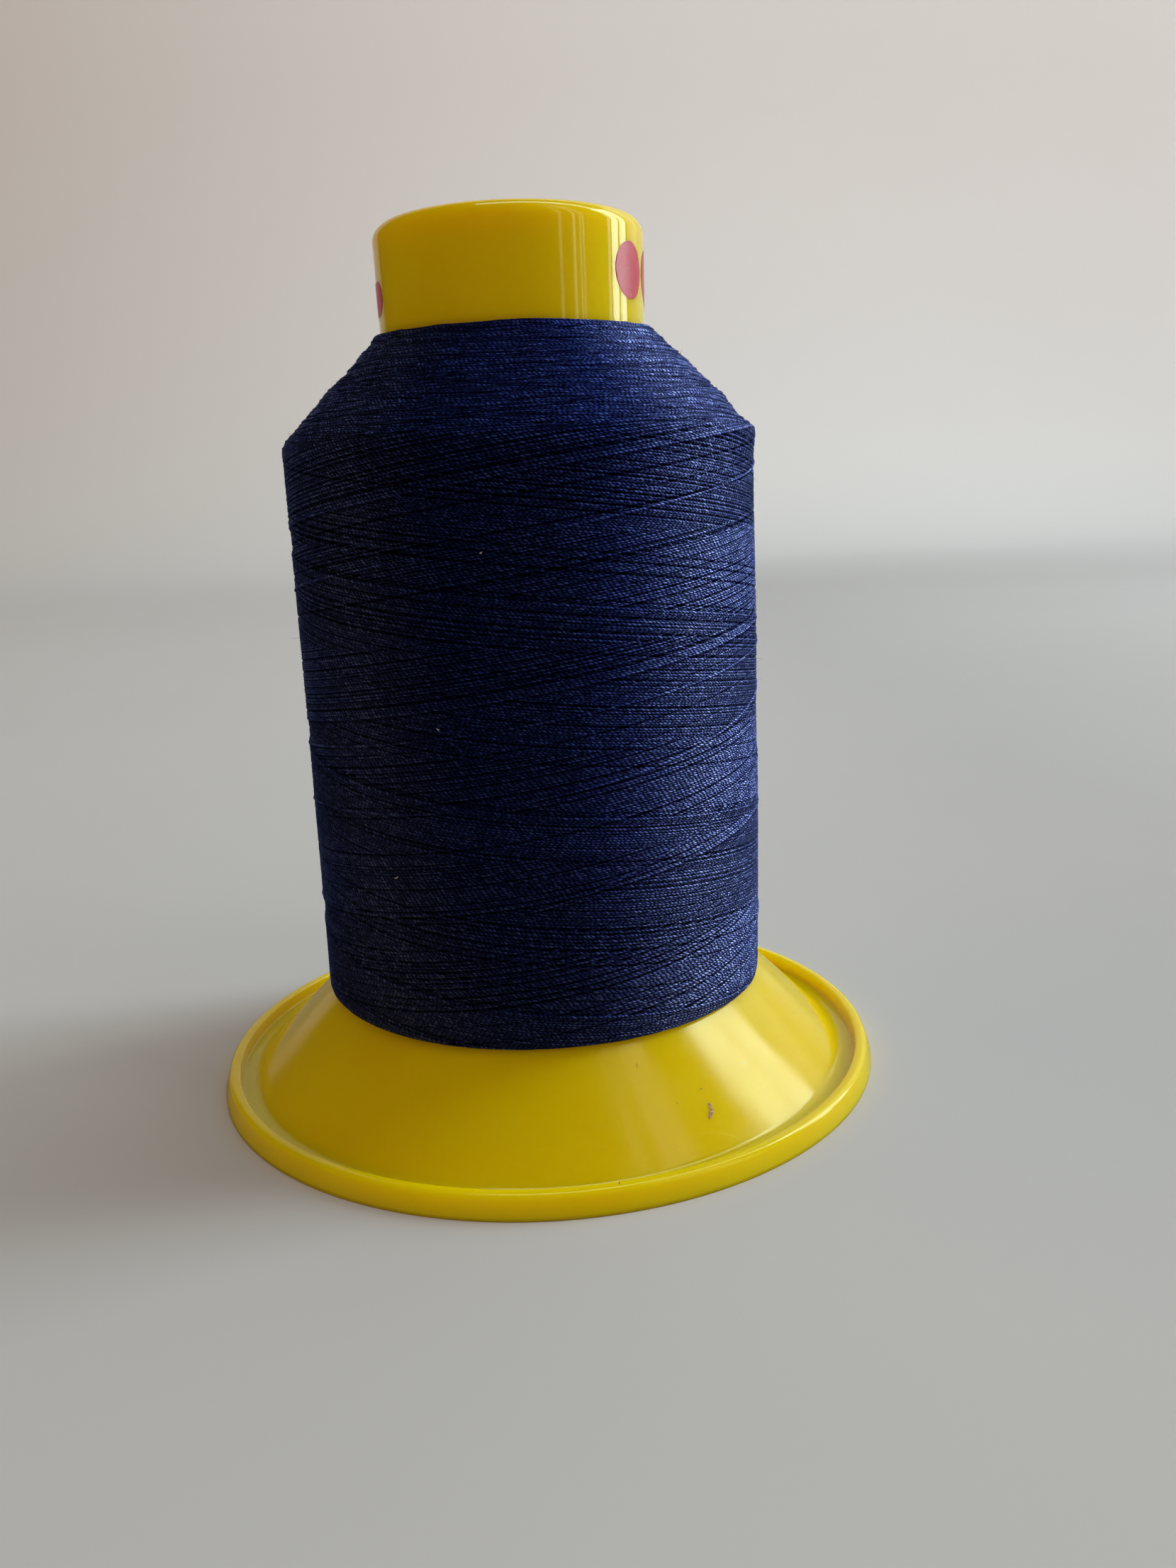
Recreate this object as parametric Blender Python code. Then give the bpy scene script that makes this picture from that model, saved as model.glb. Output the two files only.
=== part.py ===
"""Foot spool of sewing thread: a two-piece moulded spool, the thread wound on it, and the paper ring on its nose.

Sizes are in millimetres, built in metres, with +Z up. The origin is on the spool's axis, at the level
the foot stands on. The foot is one moulding (rim, channel, cone, inner sleeve and stiffening ribs).
The barrel is the second (tube, rounded nose, spindle sleeve). The barrel's retaining lip snaps over
the bead of the foot's sleeve. Drawing the barrel up about 3 mm opens the slit that holds the thread end.
"""

import math

import bmesh
import bpy
from mathutils import Matrix

MM = 0.001
SEGMENTS = 64                 # facets round the axis
SHARP_ANGLE = math.radians(32)

# foot, outside
FOOT_R = 36.0                 # outer radius of the rim
RIM_TOP = 2.3                 # height of the rim's crest
RIM_SHOULDER_R = 35.4         # the rim's outer wall leans in to this radius below its rounded top
RIM_INNER_R = 34.3            # crest's inner edge
RIM_ROUND = 0.85              # rounding of the rim's outer top edge
RIM_CHAMFER = 0.12            # chamfer of the rim's bottom edge
CHANNEL_Z = 0.95              # floor of the channel inside the rim
CHANNEL_IN_R = 32.9           # where the floor starts to rise into the cone
CONE_BOTTOM_R, CONE_BOTTOM_Z = 32.06, 1.40   # lowest point of the straight cone
CONE_SLOPE = 0.9935           # radius lost per unit of height
CONE_WALL = 1.6               # measured square to the wall
SEAT_Z = 20.1                 # flat seat on top of the cone, under the barrel

# foot, inner sleeve that the barrel slides on
SLEEVE_R = 10.7
SLEEVE_BORE_R = 9.3
SLEEVE_TOP = 27.2
HUB_UNDER_Z = 18.2            # underside of the hub that joins sleeve and cone
BEAD_R = 11.4
BEAD_LOW, BEAD_HIGH = 25.2, 26.2
SLOTS = 4                     # they part the sleeve into fingers that flex
SLOT_W = 2.0
SLOT_BOTTOM = 21.0
SLOT_OVERCUT = 1.0            # the cutter reaches this far past the sleeve

# foot, ribs under the cone
RIBS = 6
RIB_FIRST_TURN = math.radians(15)
RIB_T = 1.2
RIB_IN_R = 11.0
RIB_IN_LOW = 11.5             # lower end of the rib's inner edge
RIB_LOW = 1.0
RIB_LOW_W = 3.0               # reach inward from the cone wall at the lower end
RIB_WALL_TOP = 15.6           # the rib follows the cone wall up to here
RIB_SINK, RIB_HUB_SINK = 0.6, 0.5    # overlap into the cone wall and into the hub
RIB_TOP_W = 0.4               # width of the rib's flat top

# barrel
TUBE_R = 13.25
TUBE_BORE_R = TUBE_R - 1.5
TUBE_BOTTOM = SEAT_Z + 0.3
TUBE_CHAMFER = 0.25
LIP_R = 11.0                  # retaining lip inside the tube's bottom end
LIP_TOP = 22.1
LIP_CHAMFER = 0.3
NOSE_TOP = 87.6
NOSE_START_Z = 78.0           # the tube widens above this height, clear of the winding
NOSE_R = 13.4                 # the nose widens to this radius below its rounded edge
NOSE_ROUND = 1.75
RECESS_R = 10.3               # shallow recess in the nose's end, for the paper ring
WEB_TOP = NOSE_TOP - 0.7
WEB_UNDER = 85.2
WEB_CHAMFER = 0.8             # where the web meets the tube's bore
SPINDLE_R = 4.8               # bore for a spool pin
SPINDLE_CHAMFER = 0.5
SPINDLE_OUT_R = 6.2
SPINDLE_FLARE = 0.3           # radius gained by the spindle sleeve up to the web
SPINDLE_SLEEVE_BOTTOM = 58.0
KEY_W = SLOT_W - 0.7          # keys in the sleeve's slots stop the barrel turning on the foot
KEY_IN_R = 9.9
KEY_LOW, KEY_HIGH = 21.4, 31.0
KEY_TOP_DROP = 1.5            # the key's top slopes down inward by this
KEY_SINK = 0.6                # overlap into the tube wall

# wound thread
WIND_R = 23.85
WIND_BORE_R = TUBE_R + 0.3
WIND_SHOULDER_Z = 67.4        # where the straight side ends and the shoulder starts
WIND_TOP_R, WIND_TOP_Z = 14.0, 77.1
WIND_GAP = 0.3                # to the cone under it, measured square to the cone

# paper ring on the nose
RING_OUT_R, RING_IN_R = 9.9, 5.6
RING_GAP, RING_T = 0.1, 0.2


def clear_scene():
    for old in list(bpy.data.objects):
        bpy.data.objects.remove(old, do_unlink=True)


def material(name, colour, roughness):
    made = bpy.data.materials.new(name)
    made.use_nodes = True
    shader = made.node_tree.nodes["Principled BSDF"]
    shader.inputs["Base Color"].default_value = (*colour, 1.0)
    shader.inputs["Roughness"].default_value = roughness
    return made


def rounded_edge(outer_r, top_z, rounding, steps):
    """Profile points of a quarter round, from the outer wall up to the flat top."""
    points = []
    for i in range(steps + 1):
        angle = math.radians(90 * i / steps)
        points.append((outer_r - rounding + rounding * math.cos(angle),
                       top_z - rounding + rounding * math.sin(angle)))
    return points


def shade(mesh):
    mesh.shade_smooth()
    mesh.set_sharp_from_angle(angle=SHARP_ANGLE)


def finished(name, build, mat):
    """Turn the bmesh into a linked, shaded object."""
    mesh = bpy.data.meshes.new(name)
    build.to_mesh(mesh)
    build.free()
    mesh.materials.append(mat)
    shade(mesh)
    piece = bpy.data.objects.new(name, mesh)
    bpy.context.collection.objects.link(piece)
    return piece


def turned(name, profile, mat):
    """A closed profile of (radius, height) turned about Z."""
    build = bmesh.new()
    verts = [build.verts.new((radius * MM, 0.0, z * MM)) for radius, z in profile]
    edges = [build.edges.new((verts[i], verts[(i + 1) % len(verts)])) for i in range(len(verts))]
    bmesh.ops.spin(build, geom=verts + edges, cent=(0, 0, 0), axis=(0, 0, 1), angle=2 * math.pi,
                   steps=SEGMENTS, use_merge=True, use_duplicate=False)
    bmesh.ops.remove_doubles(build, verts=build.verts, dist=1e-6)
    bmesh.ops.recalc_face_normals(build, faces=build.faces)
    return finished(name, build, mat)


def plate(name, outline, thickness, turn, mat):
    """A flat plate with an outline of (radius, height), standing in the radial plane at the turn."""
    build = bmesh.new()
    half = thickness * MM / 2
    face = build.faces.new([build.verts.new((radius * MM, -half, z * MM)) for radius, z in outline])
    grown = bmesh.ops.extrude_face_region(build, geom=[face])
    moved = [part for part in grown["geom"] if isinstance(part, bmesh.types.BMVert)]
    bmesh.ops.translate(build, verts=moved, vec=(0, 2 * half, 0))
    bmesh.ops.recalc_face_normals(build, faces=build.faces)
    bmesh.ops.rotate(build, verts=build.verts, cent=(0, 0, 0), matrix=Matrix.Rotation(turn, 3, "Z"))
    return finished(name, build, mat)


def combine(piece, tool, operation):
    """Unite the tool with the piece, or cut it away, and drop the tool."""
    modifier = piece.modifiers.new(operation.lower(), "BOOLEAN")
    modifier.operation = operation
    modifier.solver = "EXACT"
    modifier.object = tool
    depsgraph = bpy.context.evaluated_depsgraph_get()
    mesh = bpy.data.meshes.new_from_object(piece.evaluated_get(depsgraph))
    piece.modifiers.clear()
    old = piece.data
    mesh.name = old.name
    piece.data = mesh
    bpy.data.meshes.remove(old)
    bpy.data.objects.remove(tool, do_unlink=True)
    shade(mesh)


def combine_ring(piece, name, outline, thickness, count, operation, mat, first_turn=0.0):
    """Combine the piece with plates spaced evenly round the axis."""
    for i in range(count):
        turn = first_turn + 2 * math.pi * i / count
        combine(piece, plate(name, outline, thickness, turn, mat), operation)


def cone_r(z):
    """Outer radius of the cone at a height."""
    return CONE_BOTTOM_R - (z - CONE_BOTTOM_Z) * CONE_SLOPE


def cone_inner_r(z):
    """Radius of the cone wall's inner face at a height."""
    return cone_r(z) - CONE_WALL * math.hypot(1.0, CONE_SLOPE)


def winding_low_z(radius):
    """Height of the winding's bottom, which follows the cone."""
    cone_z = CONE_BOTTOM_Z + (CONE_BOTTOM_R - radius) / CONE_SLOPE
    return cone_z + WIND_GAP * math.hypot(1.0, 1.0 / CONE_SLOPE)


def foot(mat):
    profile = [
        (cone_inner_r(0.0), 0.0), (FOOT_R - RIM_CHAMFER, 0.0), (FOOT_R, RIM_CHAMFER),
        *rounded_edge(RIM_SHOULDER_R, RIM_TOP, RIM_ROUND, steps=5),
        (RIM_INNER_R, RIM_TOP - 0.2),
        # channel
        (RIM_INNER_R - 0.05, CHANNEL_Z + 0.2), (RIM_INNER_R - 0.2, CHANNEL_Z),
        (CHANNEL_IN_R, CHANNEL_Z), (CHANNEL_IN_R - 0.4, CHANNEL_Z + 0.1),
        # cone and seat
        (CONE_BOTTOM_R, CONE_BOTTOM_Z), (cone_r(SEAT_Z), SEAT_Z), (SLEEVE_R, SEAT_Z),
        # sleeve with its bead, then the underside of the hub
        (SLEEVE_R, BEAD_LOW), (BEAD_R, BEAD_LOW), (BEAD_R, BEAD_HIGH),
        (SLEEVE_R, SLEEVE_TOP), (SLEEVE_BORE_R, SLEEVE_TOP),
        (SLEEVE_BORE_R, HUB_UNDER_Z), (cone_inner_r(HUB_UNDER_Z), HUB_UNDER_Z),
    ]
    piece = turned("foot", profile, mat)

    rib_top = HUB_UNDER_Z + RIB_HUB_SINK
    rib = [
        (cone_inner_r(RIB_LOW) + RIB_SINK, RIB_LOW),
        (cone_inner_r(RIB_WALL_TOP) + RIB_SINK, RIB_WALL_TOP),
        (RIB_IN_R + RIB_TOP_W, rib_top), (RIB_IN_R, rib_top),
        (RIB_IN_R, RIB_IN_LOW), (cone_inner_r(RIB_LOW) - RIB_LOW_W, RIB_LOW),
    ]
    combine_ring(piece, "rib", rib, RIB_T, RIBS, "UNION", mat, RIB_FIRST_TURN)

    slot_in, slot_out = SLEEVE_BORE_R - SLOT_OVERCUT, BEAD_R + SLOT_OVERCUT
    slot_top = SLEEVE_TOP + SLOT_OVERCUT
    slot = [(slot_in, SLOT_BOTTOM), (slot_out, SLOT_BOTTOM), (slot_out, slot_top), (slot_in, slot_top)]
    combine_ring(piece, "slot", slot, SLOT_W, SLOTS, "DIFFERENCE", mat)
    return piece


def barrel(mat):
    profile = [
        (LIP_R + LIP_CHAMFER, TUBE_BOTTOM), (TUBE_R - TUBE_CHAMFER, TUBE_BOTTOM),
        (TUBE_R, TUBE_BOTTOM + TUBE_CHAMFER), (TUBE_R, NOSE_START_Z),
        *rounded_edge(NOSE_R, NOSE_TOP, NOSE_ROUND, steps=7),
        (RECESS_R, NOSE_TOP), (RECESS_R, WEB_TOP),
        # spindle sleeve
        (SPINDLE_R + SPINDLE_CHAMFER, WEB_TOP), (SPINDLE_R, WEB_TOP - SPINDLE_CHAMFER),
        (SPINDLE_R, SPINDLE_SLEEVE_BOTTOM), (SPINDLE_OUT_R, SPINDLE_SLEEVE_BOTTOM),
        (SPINDLE_OUT_R + SPINDLE_FLARE, WEB_UNDER),
        # bore and lip
        (TUBE_BORE_R - WEB_CHAMFER, WEB_UNDER), (TUBE_BORE_R, WEB_UNDER - WEB_CHAMFER),
        (TUBE_BORE_R, LIP_TOP), (LIP_R, LIP_TOP), (LIP_R, TUBE_BOTTOM + LIP_CHAMFER),
    ]
    piece = turned("barrel", profile, mat)
    key_out = TUBE_BORE_R + KEY_SINK
    key = [(KEY_IN_R, KEY_LOW), (key_out, KEY_LOW),
           (key_out, KEY_HIGH), (KEY_IN_R, KEY_HIGH - KEY_TOP_DROP)]
    combine_ring(piece, "key", key, KEY_W, SLOTS, "UNION", mat)
    return piece


def thread_package(mat):
    profile = [
        (WIND_BORE_R, winding_low_z(WIND_BORE_R)),
        # the bottom edge turns up into the side
        (WIND_R - 1.0, winding_low_z(WIND_R - 1.0)),
        (WIND_R - 0.35, winding_low_z(WIND_R - 0.75)),
        (WIND_R, winding_low_z(WIND_R) + 1.15),
        (WIND_R + 0.05, WIND_SHOULDER_Z - 1.0), (WIND_R - 0.15, WIND_SHOULDER_Z),
        (WIND_TOP_R, WIND_TOP_Z), (WIND_BORE_R, WIND_TOP_Z + 0.3),
    ]
    return turned("thread_package", profile, mat)


def nose_label(mat):
    low = WEB_TOP + RING_GAP
    high = low + RING_T
    profile = [(RING_IN_R, low), (RING_OUT_R, low), (RING_OUT_R, high), (RING_IN_R, high)]
    return turned("nose_label", profile, mat)


clear_scene()
yellow_foot = material("foot_plastic", colour=(0.80, 0.58, 0.01), roughness=0.28)
yellow_barrel = material("barrel_plastic", colour=(0.80, 0.58, 0.01), roughness=0.24)
navy_thread = material("navy_thread", colour=(0.015, 0.025, 0.11), roughness=0.75)
paper = material("label_paper", colour=(0.82, 0.81, 0.77), roughness=0.85)

foot(yellow_foot)

# the barrel, its winding and its label slide together on the spool's axis
slide = bpy.data.objects.new("spool_slide", None)
bpy.context.collection.objects.link(slide)
for part in (barrel(yellow_barrel), thread_package(navy_thread), nose_label(paper)):
    part.parent = slide
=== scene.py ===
"""A spool of navy thread: a yellow moulded foot and barrel with red printing, a winding laid
strand by strand, loose fibres, a paper ring, specks of dirt, and a studio to show it in.

The spool stands on z = 0 with its axis on +Z, foot down and nose up. Bearings go round the
axis in degrees: 0 faces -Y, where the camera is, and 90 faces +X. The pieces are drawn in mm
and scaled by MM; lights, camera and stage are in metres.
"""
import math

import bmesh
import bpy
import numpy as np
from mathutils import Matrix, Vector


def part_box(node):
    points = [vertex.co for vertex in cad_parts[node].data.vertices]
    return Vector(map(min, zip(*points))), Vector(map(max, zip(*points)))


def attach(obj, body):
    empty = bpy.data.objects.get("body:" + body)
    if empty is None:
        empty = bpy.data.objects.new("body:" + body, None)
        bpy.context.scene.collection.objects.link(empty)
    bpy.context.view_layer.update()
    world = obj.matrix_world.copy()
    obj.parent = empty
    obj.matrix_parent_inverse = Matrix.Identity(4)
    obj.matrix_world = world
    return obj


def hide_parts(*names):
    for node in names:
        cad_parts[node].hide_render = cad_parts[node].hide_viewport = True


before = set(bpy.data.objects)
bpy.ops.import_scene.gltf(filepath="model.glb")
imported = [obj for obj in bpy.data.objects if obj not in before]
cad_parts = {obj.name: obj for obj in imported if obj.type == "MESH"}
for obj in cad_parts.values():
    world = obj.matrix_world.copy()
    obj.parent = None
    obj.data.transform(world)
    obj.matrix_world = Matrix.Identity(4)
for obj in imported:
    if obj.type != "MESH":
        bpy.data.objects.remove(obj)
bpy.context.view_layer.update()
MM = 0.001

# ---------------------------------------------------------------- shared dimensions, in mm
foot_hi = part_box("foot")[1]
barrel_lo, barrel_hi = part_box("barrel")
ring_lo, ring_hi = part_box("nose_label")
FOOT_R, SLEEVE_TOP = foot_hi[0] / MM, foot_hi[2] / MM
BARREL_R = barrel_hi[0] / MM
BARREL_Z0, BARREL_Z1 = barrel_lo[2] / MM, barrel_hi[2] / MM
RING_R, RING_Z = ring_hi[0] / MM, ring_lo[2] / MM

RIM_TOP = 2.3             # top of the foot's outer rim
CONE_R0, CONE_Z0 = 32.06, 1.40    # a point on the foot's cone
CONE_SLOPE = 0.9935       # radius lost per mm of height
TUBE_R = 13.25            # barrel tube under the winding
TAPER_Z = 78.0            # height where the tube starts to change radius towards the nose


def cone_r(z):
    return CONE_R0 - (z - CONE_Z0) * CONE_SLOPE


def facing(bearing):
    """The x and y of a unit vector at a bearing in degrees."""
    angle = math.radians(bearing)
    return math.sin(angle), -math.cos(angle)


def on_cone(bearing, z):
    """A point on the foot's cone, and the normal there."""
    x, y = facing(bearing)
    r = cone_r(z)
    return (r * x, r * y, z), (x * 0.705, y * 0.705, 0.709)


# ---------------------------------------------------------------- mesh helpers
def rounded(outline):
    """Rounds a closed outline of (r, z, fillet radius, fillet steps); gives (r, z) points."""
    points = []
    for i, (r, z, fillet, steps) in enumerate(outline):
        if fillet <= 0:
            points.append((r, z))
            continue
        corner = Vector((r, z))
        back = Vector(outline[i - 1][:2]) - corner
        ahead = Vector(outline[(i + 1) % len(outline)][:2]) - corner
        limit = 0.49 * min(back.length, ahead.length)
        back.normalize()
        ahead.normalize()
        half = math.acos(max(-1, min(1, back.dot(ahead)))) / 2
        reach = fillet / math.tan(half)
        if reach > limit:
            reach, fillet = limit, limit * math.tan(half)
        centre = corner + (back + ahead).normalized() * (fillet / math.sin(half))
        start = corner + back * reach - centre
        end = corner + ahead * reach - centre
        sweep = start.angle_signed(end)
        for k in range(steps + 1):
            cos, sin = math.cos(sweep * k / steps), math.sin(sweep * k / steps)
            # angle_signed is clockwise-positive
            points.append((centre.x + start.x * cos + start.y * sin,
                           centre.y - start.x * sin + start.y * cos))
    return points


def mesh_from(name, coords, quads, tris=(), smooth_quads=True, smooth_tris=False):
    mesh = bpy.data.meshes.new(name)
    quads = np.asarray(quads, np.int32).reshape(-1, 4)
    tris = np.asarray(tris, np.int32).reshape(-1, 3)
    corners = np.concatenate([quads.ravel(), tris.ravel()])
    starts = np.concatenate([np.arange(len(quads)) * 4,
                             len(quads) * 4 + np.arange(len(tris)) * 3]).astype(np.int32)
    smooth = np.concatenate([np.full(len(quads), smooth_quads), np.full(len(tris), smooth_tris)])
    mesh.vertices.add(len(coords))
    mesh.vertices.foreach_set("co", np.asarray(coords, np.float32).ravel())
    mesh.loops.add(len(corners))
    mesh.loops.foreach_set("vertex_index", corners)
    mesh.polygons.add(len(starts))
    mesh.polygons.foreach_set("loop_start", starts)
    mesh.polygons.foreach_set("use_smooth", smooth)
    mesh.update(calc_edges=True)
    return mesh


def new_object(name, mesh, material=None):
    piece = bpy.data.objects.new(name, mesh)
    bpy.context.scene.collection.objects.link(piece)
    if material is not None:
        mesh.materials.append(material)
    return piece


def register(piece, body, stands_for=None):
    """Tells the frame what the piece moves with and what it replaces."""
    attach(piece, body)
    if stands_for:
        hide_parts(stands_for)


def shade_turned(mesh, sharp=38):
    mesh.shade_smooth()
    mesh.set_sharp_from_angle(angle=math.radians(sharp))


def turn_faces_out(mesh):
    shell = bmesh.new()
    shell.from_mesh(mesh)
    bmesh.ops.recalc_face_normals(shell, faces=shell.faces)
    shell.to_mesh(mesh)
    shell.free()


def turned(name, outline, material, segments=256):
    """Turns a closed outline of (r, z) in mm about Z, with its faces out."""
    points = np.array(outline) * MM
    r, z = points.T
    if 0.5 * np.sum(r * np.roll(z, -1) - np.roll(r, -1) * z) < 0:
        points = points[::-1]
    r, z = points.T
    count = len(points)
    angle = np.arange(segments) * 2 * math.pi / segments
    coords = np.stack([np.outer(np.cos(angle), r), np.outer(np.sin(angle), r),
                       np.tile(z, (segments, 1))], -1).reshape(-1, 3)
    i = np.arange(segments)[:, None]
    j = np.arange(count)[None, :]
    i_next, j_next = (i + 1) % segments, (j + 1) % count
    quads = np.stack([i * count + j, i_next * count + j,
                      i_next * count + j_next, i * count + j_next], -1).reshape(-1, 4)
    mesh = mesh_from(name, coords, quads)
    piece = new_object(name, mesh, material)
    shade_turned(mesh)
    return piece


def plates(outline, thickness, count, first=0.0):
    """Evenly spaced upright plates round the axis; outline is (r, z), first an angle from +X."""
    shell = bmesh.new()
    half = thickness * MM / 2
    for i in range(count):
        rotation = Matrix.Rotation(first + math.tau / count * i, 3, "Z")
        near, far = ([shell.verts.new(rotation @ Vector((r * MM, y, z * MM))) for r, z in outline]
                     for y in (-half, half))
        shell.faces.new(near[::-1])
        shell.faces.new(far)
        for k in range(len(outline)):
            n = (k + 1) % len(outline)
            shell.faces.new((near[k], near[n], far[n], far[k]))
    return shell


def boolean(piece, shell, operation):
    """Applies a boolean of the shell to the piece, keeping the piece's materials."""
    bmesh.ops.recalc_face_normals(shell, faces=shell.faces)
    tool_mesh = bpy.data.meshes.new("tool")
    shell.to_mesh(tool_mesh)
    shell.free()
    tool = new_object("tool", tool_mesh)
    modifier = piece.modifiers.new("cut", "BOOLEAN")
    modifier.operation, modifier.solver, modifier.object = operation, "EXACT", tool
    evaluated = piece.evaluated_get(bpy.context.evaluated_depsgraph_get())
    result = bpy.data.meshes.new_from_object(evaluated)
    materials = [slot.material for slot in piece.material_slots]
    piece.modifiers.clear()
    result.materials.clear()
    for material in materials:
        result.materials.append(material)
    result.polygons.foreach_set("material_index", np.zeros(len(result.polygons), np.int32))
    old, piece.data = piece.data, result
    bpy.data.meshes.remove(old)
    bpy.data.objects.remove(tool, do_unlink=True)
    shade_turned(piece.data)


# ---------------------------------------------------------------- node helpers
class Graph:
    """Shorthand for a node tree. Any value may be a constant or another node's output."""

    def __init__(self, tree):
        self.tree = tree

    def add(self, kind, **properties):
        node = self.tree.nodes.new("ShaderNode" + kind)
        for key, value in properties.items():
            setattr(node, key, value)
        return node

    def source(self, kind, output, **properties):
        return self.add(kind, **properties).outputs[output]

    def put(self, socket, value):
        """Links or sets a value; colours are given as (r, g, b)."""
        if isinstance(value, bpy.types.NodeSocket):
            self.tree.links.new(value, socket)
        elif socket.type == "RGBA":
            socket.default_value = (*value, 1.0)
        else:
            socket.default_value = value

    def put_all(self, node, values):
        for key, value in values.items():
            self.put(node.inputs[key], value)

    def math(self, operation, a, b=0.0):
        node = self.add("Math", operation=operation)
        self.put_all(node, {0: a, 1: b, 2: 0.0})
        return node.outputs[0]

    def plus(self, a, b):
        return self.math("ADD", a, b)

    def minus(self, a, b):
        return self.math("SUBTRACT", a, b)

    def times(self, a, b):
        return self.math("MULTIPLY", a, b)

    def vector_math(self, operation, *vectors):
        node = self.add("VectorMath", operation=operation)
        self.put_all(node, dict(enumerate(vectors)))
        return node.outputs

    def separate(self, vector):
        node = self.add("SeparateXYZ")
        self.put(node.inputs[0], vector)
        return tuple(node.outputs)

    def combine(self, *values):
        node = self.add("CombineXYZ")
        self.put_all(node, dict(enumerate(values)))
        return node.outputs[0]

    def radius(self, x, y):
        return self.math("SQRT", self.plus(self.times(x, x), self.times(y, y)))

    def ramp(self, value, low, high, smooth=True):
        """0 below low and 1 above high."""
        node = self.add("MapRange", interpolation_type="SMOOTHSTEP" if smooth else "LINEAR")
        self.put_all(node, {0: value, 1: low, 2: high})
        return node.outputs[0]

    def noise(self, vector, scale, detail=2.0, roughness=0.5):
        node = self.add("TexNoise")
        self.put_all(node, {"Vector": vector, "Scale": scale, "Detail": detail,
                            "Roughness": roughness})
        return node.outputs["Fac"]

    def mapped(self, vector, kind="POINT", **placing):
        node = self.add("Mapping", vector_type=kind)
        self.put(node.inputs["Vector"], vector)
        self.put_all(node, {key.title(): value for key, value in placing.items()})
        return node.outputs[0]

    def mix(self, factor, a, b, blend="MIX"):
        node = self.add("Mix", data_type="RGBA", blend_type=blend)
        self.put_all(node, {0: factor, 6: a, 7: b})
        return node.outputs[2]

    def bump(self, height, strength, distance, **under):
        """Relief; distance is in metres, and Normal may give the relief underneath."""
        node = self.add("Bump")
        self.put_all(node, {"Strength": strength, "Distance": distance, "Height": height, **under})
        return node.outputs[0]


class Surface(Graph):
    """A new material's graph round its Principled shader."""

    def __init__(self, name):
        self.material = bpy.data.materials.new(name)
        self.material.use_nodes = True
        super().__init__(self.material.node_tree)
        self.bsdf = self.tree.nodes["Principled BSDF"]

    def place(self):
        return self.source("TexCoord", "Object")

    def shade(self, values):
        self.put_all(self.bsdf, values)
        return self.material


# ---------------------------------------------------------------- materials
WHITE, BLACK = (1.0, 1.0, 1.0), (0.0, 0.0, 0.0)
YELLOW = (0.92, 0.662, 0.0010)
YELLOW_DEEP = (0.886, 0.604, 0.0008)
YELLOW_FLOW = (0.95, 0.72, 0.02)
YELLOW_SCUFF = (0.98, 0.86, 0.30)
THREAD_DEEP = (0.166, 0.216, 0.55)
THREAD_BRIGHT = (0.208, 0.270, 0.69)
THREAD_FIBRE = (0.33, 0.41, 0.86)
# painted glint colour
THREAD_GLINT = (0.38, 0.47, 0.95)
# painted shade: the colour of the gaps between strands
THREAD_GAP_SHADE = (0.0040, 0.0052, 0.0200)
# painted shade: the colour's multiplier where the winding faces the eye
THREAD_FACING_SHADE = (0.195, 0.258, 0.50)

# turn in radians and noise scale of each set of hairline scratches
SCRATCHES = [(0.5, 260.0), (2.1, 310.0), (1.3, 190.0)]
# pale scuffs on the foot's cone: bearing, height, half length (mm), turn (radians)
FOOT_MARKS = [(44.5, 5.9, 0.75, 0.10), (43.0, 6.05, 0.4, -0.25),
              (57.0, 3.7, 0.9, 0.5), (-30.0, 6.5, 0.8, 0.9)]
MARK_WIDTH, MARK_DEPTH = 0.12, 0.045


def scratch_mask(mat, place):
    """Stretched noise in turned directions, cut to thin lines and gated into patches."""
    scratches = None
    for turn, scale in SCRATCHES:
        stretched = mat.mapped(place, rotation=(turn * 0.7, turn * 0.4, turn),
                               scale=(0.06, 1.0, 1.0))
        value = mat.noise(stretched, scale=scale, detail=1.0, roughness=0.4)
        off_line = mat.math("ABSOLUTE", mat.minus(value, 0.5))
        line = mat.minus(1.0, mat.ramp(off_line, low=0.0, high=0.006, smooth=False))
        patches = mat.noise(place, scale=scale * 0.35 + turn * 10, detail=1.0)
        line = mat.times(line, mat.ramp(patches, low=0.55, high=0.7))
        scratches = line if scratches is None else mat.math("MAXIMUM", scratches, line)
    return scratches


def add_mark(mat, place, colour, bearing, z, length, turn):
    """Tints a ragged ellipsoid on the cone; its scaled distance from the centre is the mask."""
    local = mat.mapped(place, "TEXTURE",
                       location=[value * MM for value in on_cone(bearing, z)[0]],
                       rotation=(0.0, -turn, math.radians(bearing)),
                       scale=(length * MM, MARK_WIDTH * MM, MARK_DEPTH * MM))
    distance = mat.vector_math("LENGTH", local)["Value"]
    wobble = mat.times(mat.minus(mat.noise(place, scale=2600.0), 0.5), 0.9)
    mask = mat.minus(1.0, mat.ramp(mat.plus(distance, wobble), low=0.75, high=1.0))
    return mat.mix(mat.times(mask, 0.45), colour, YELLOW_SCUFF)


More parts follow.
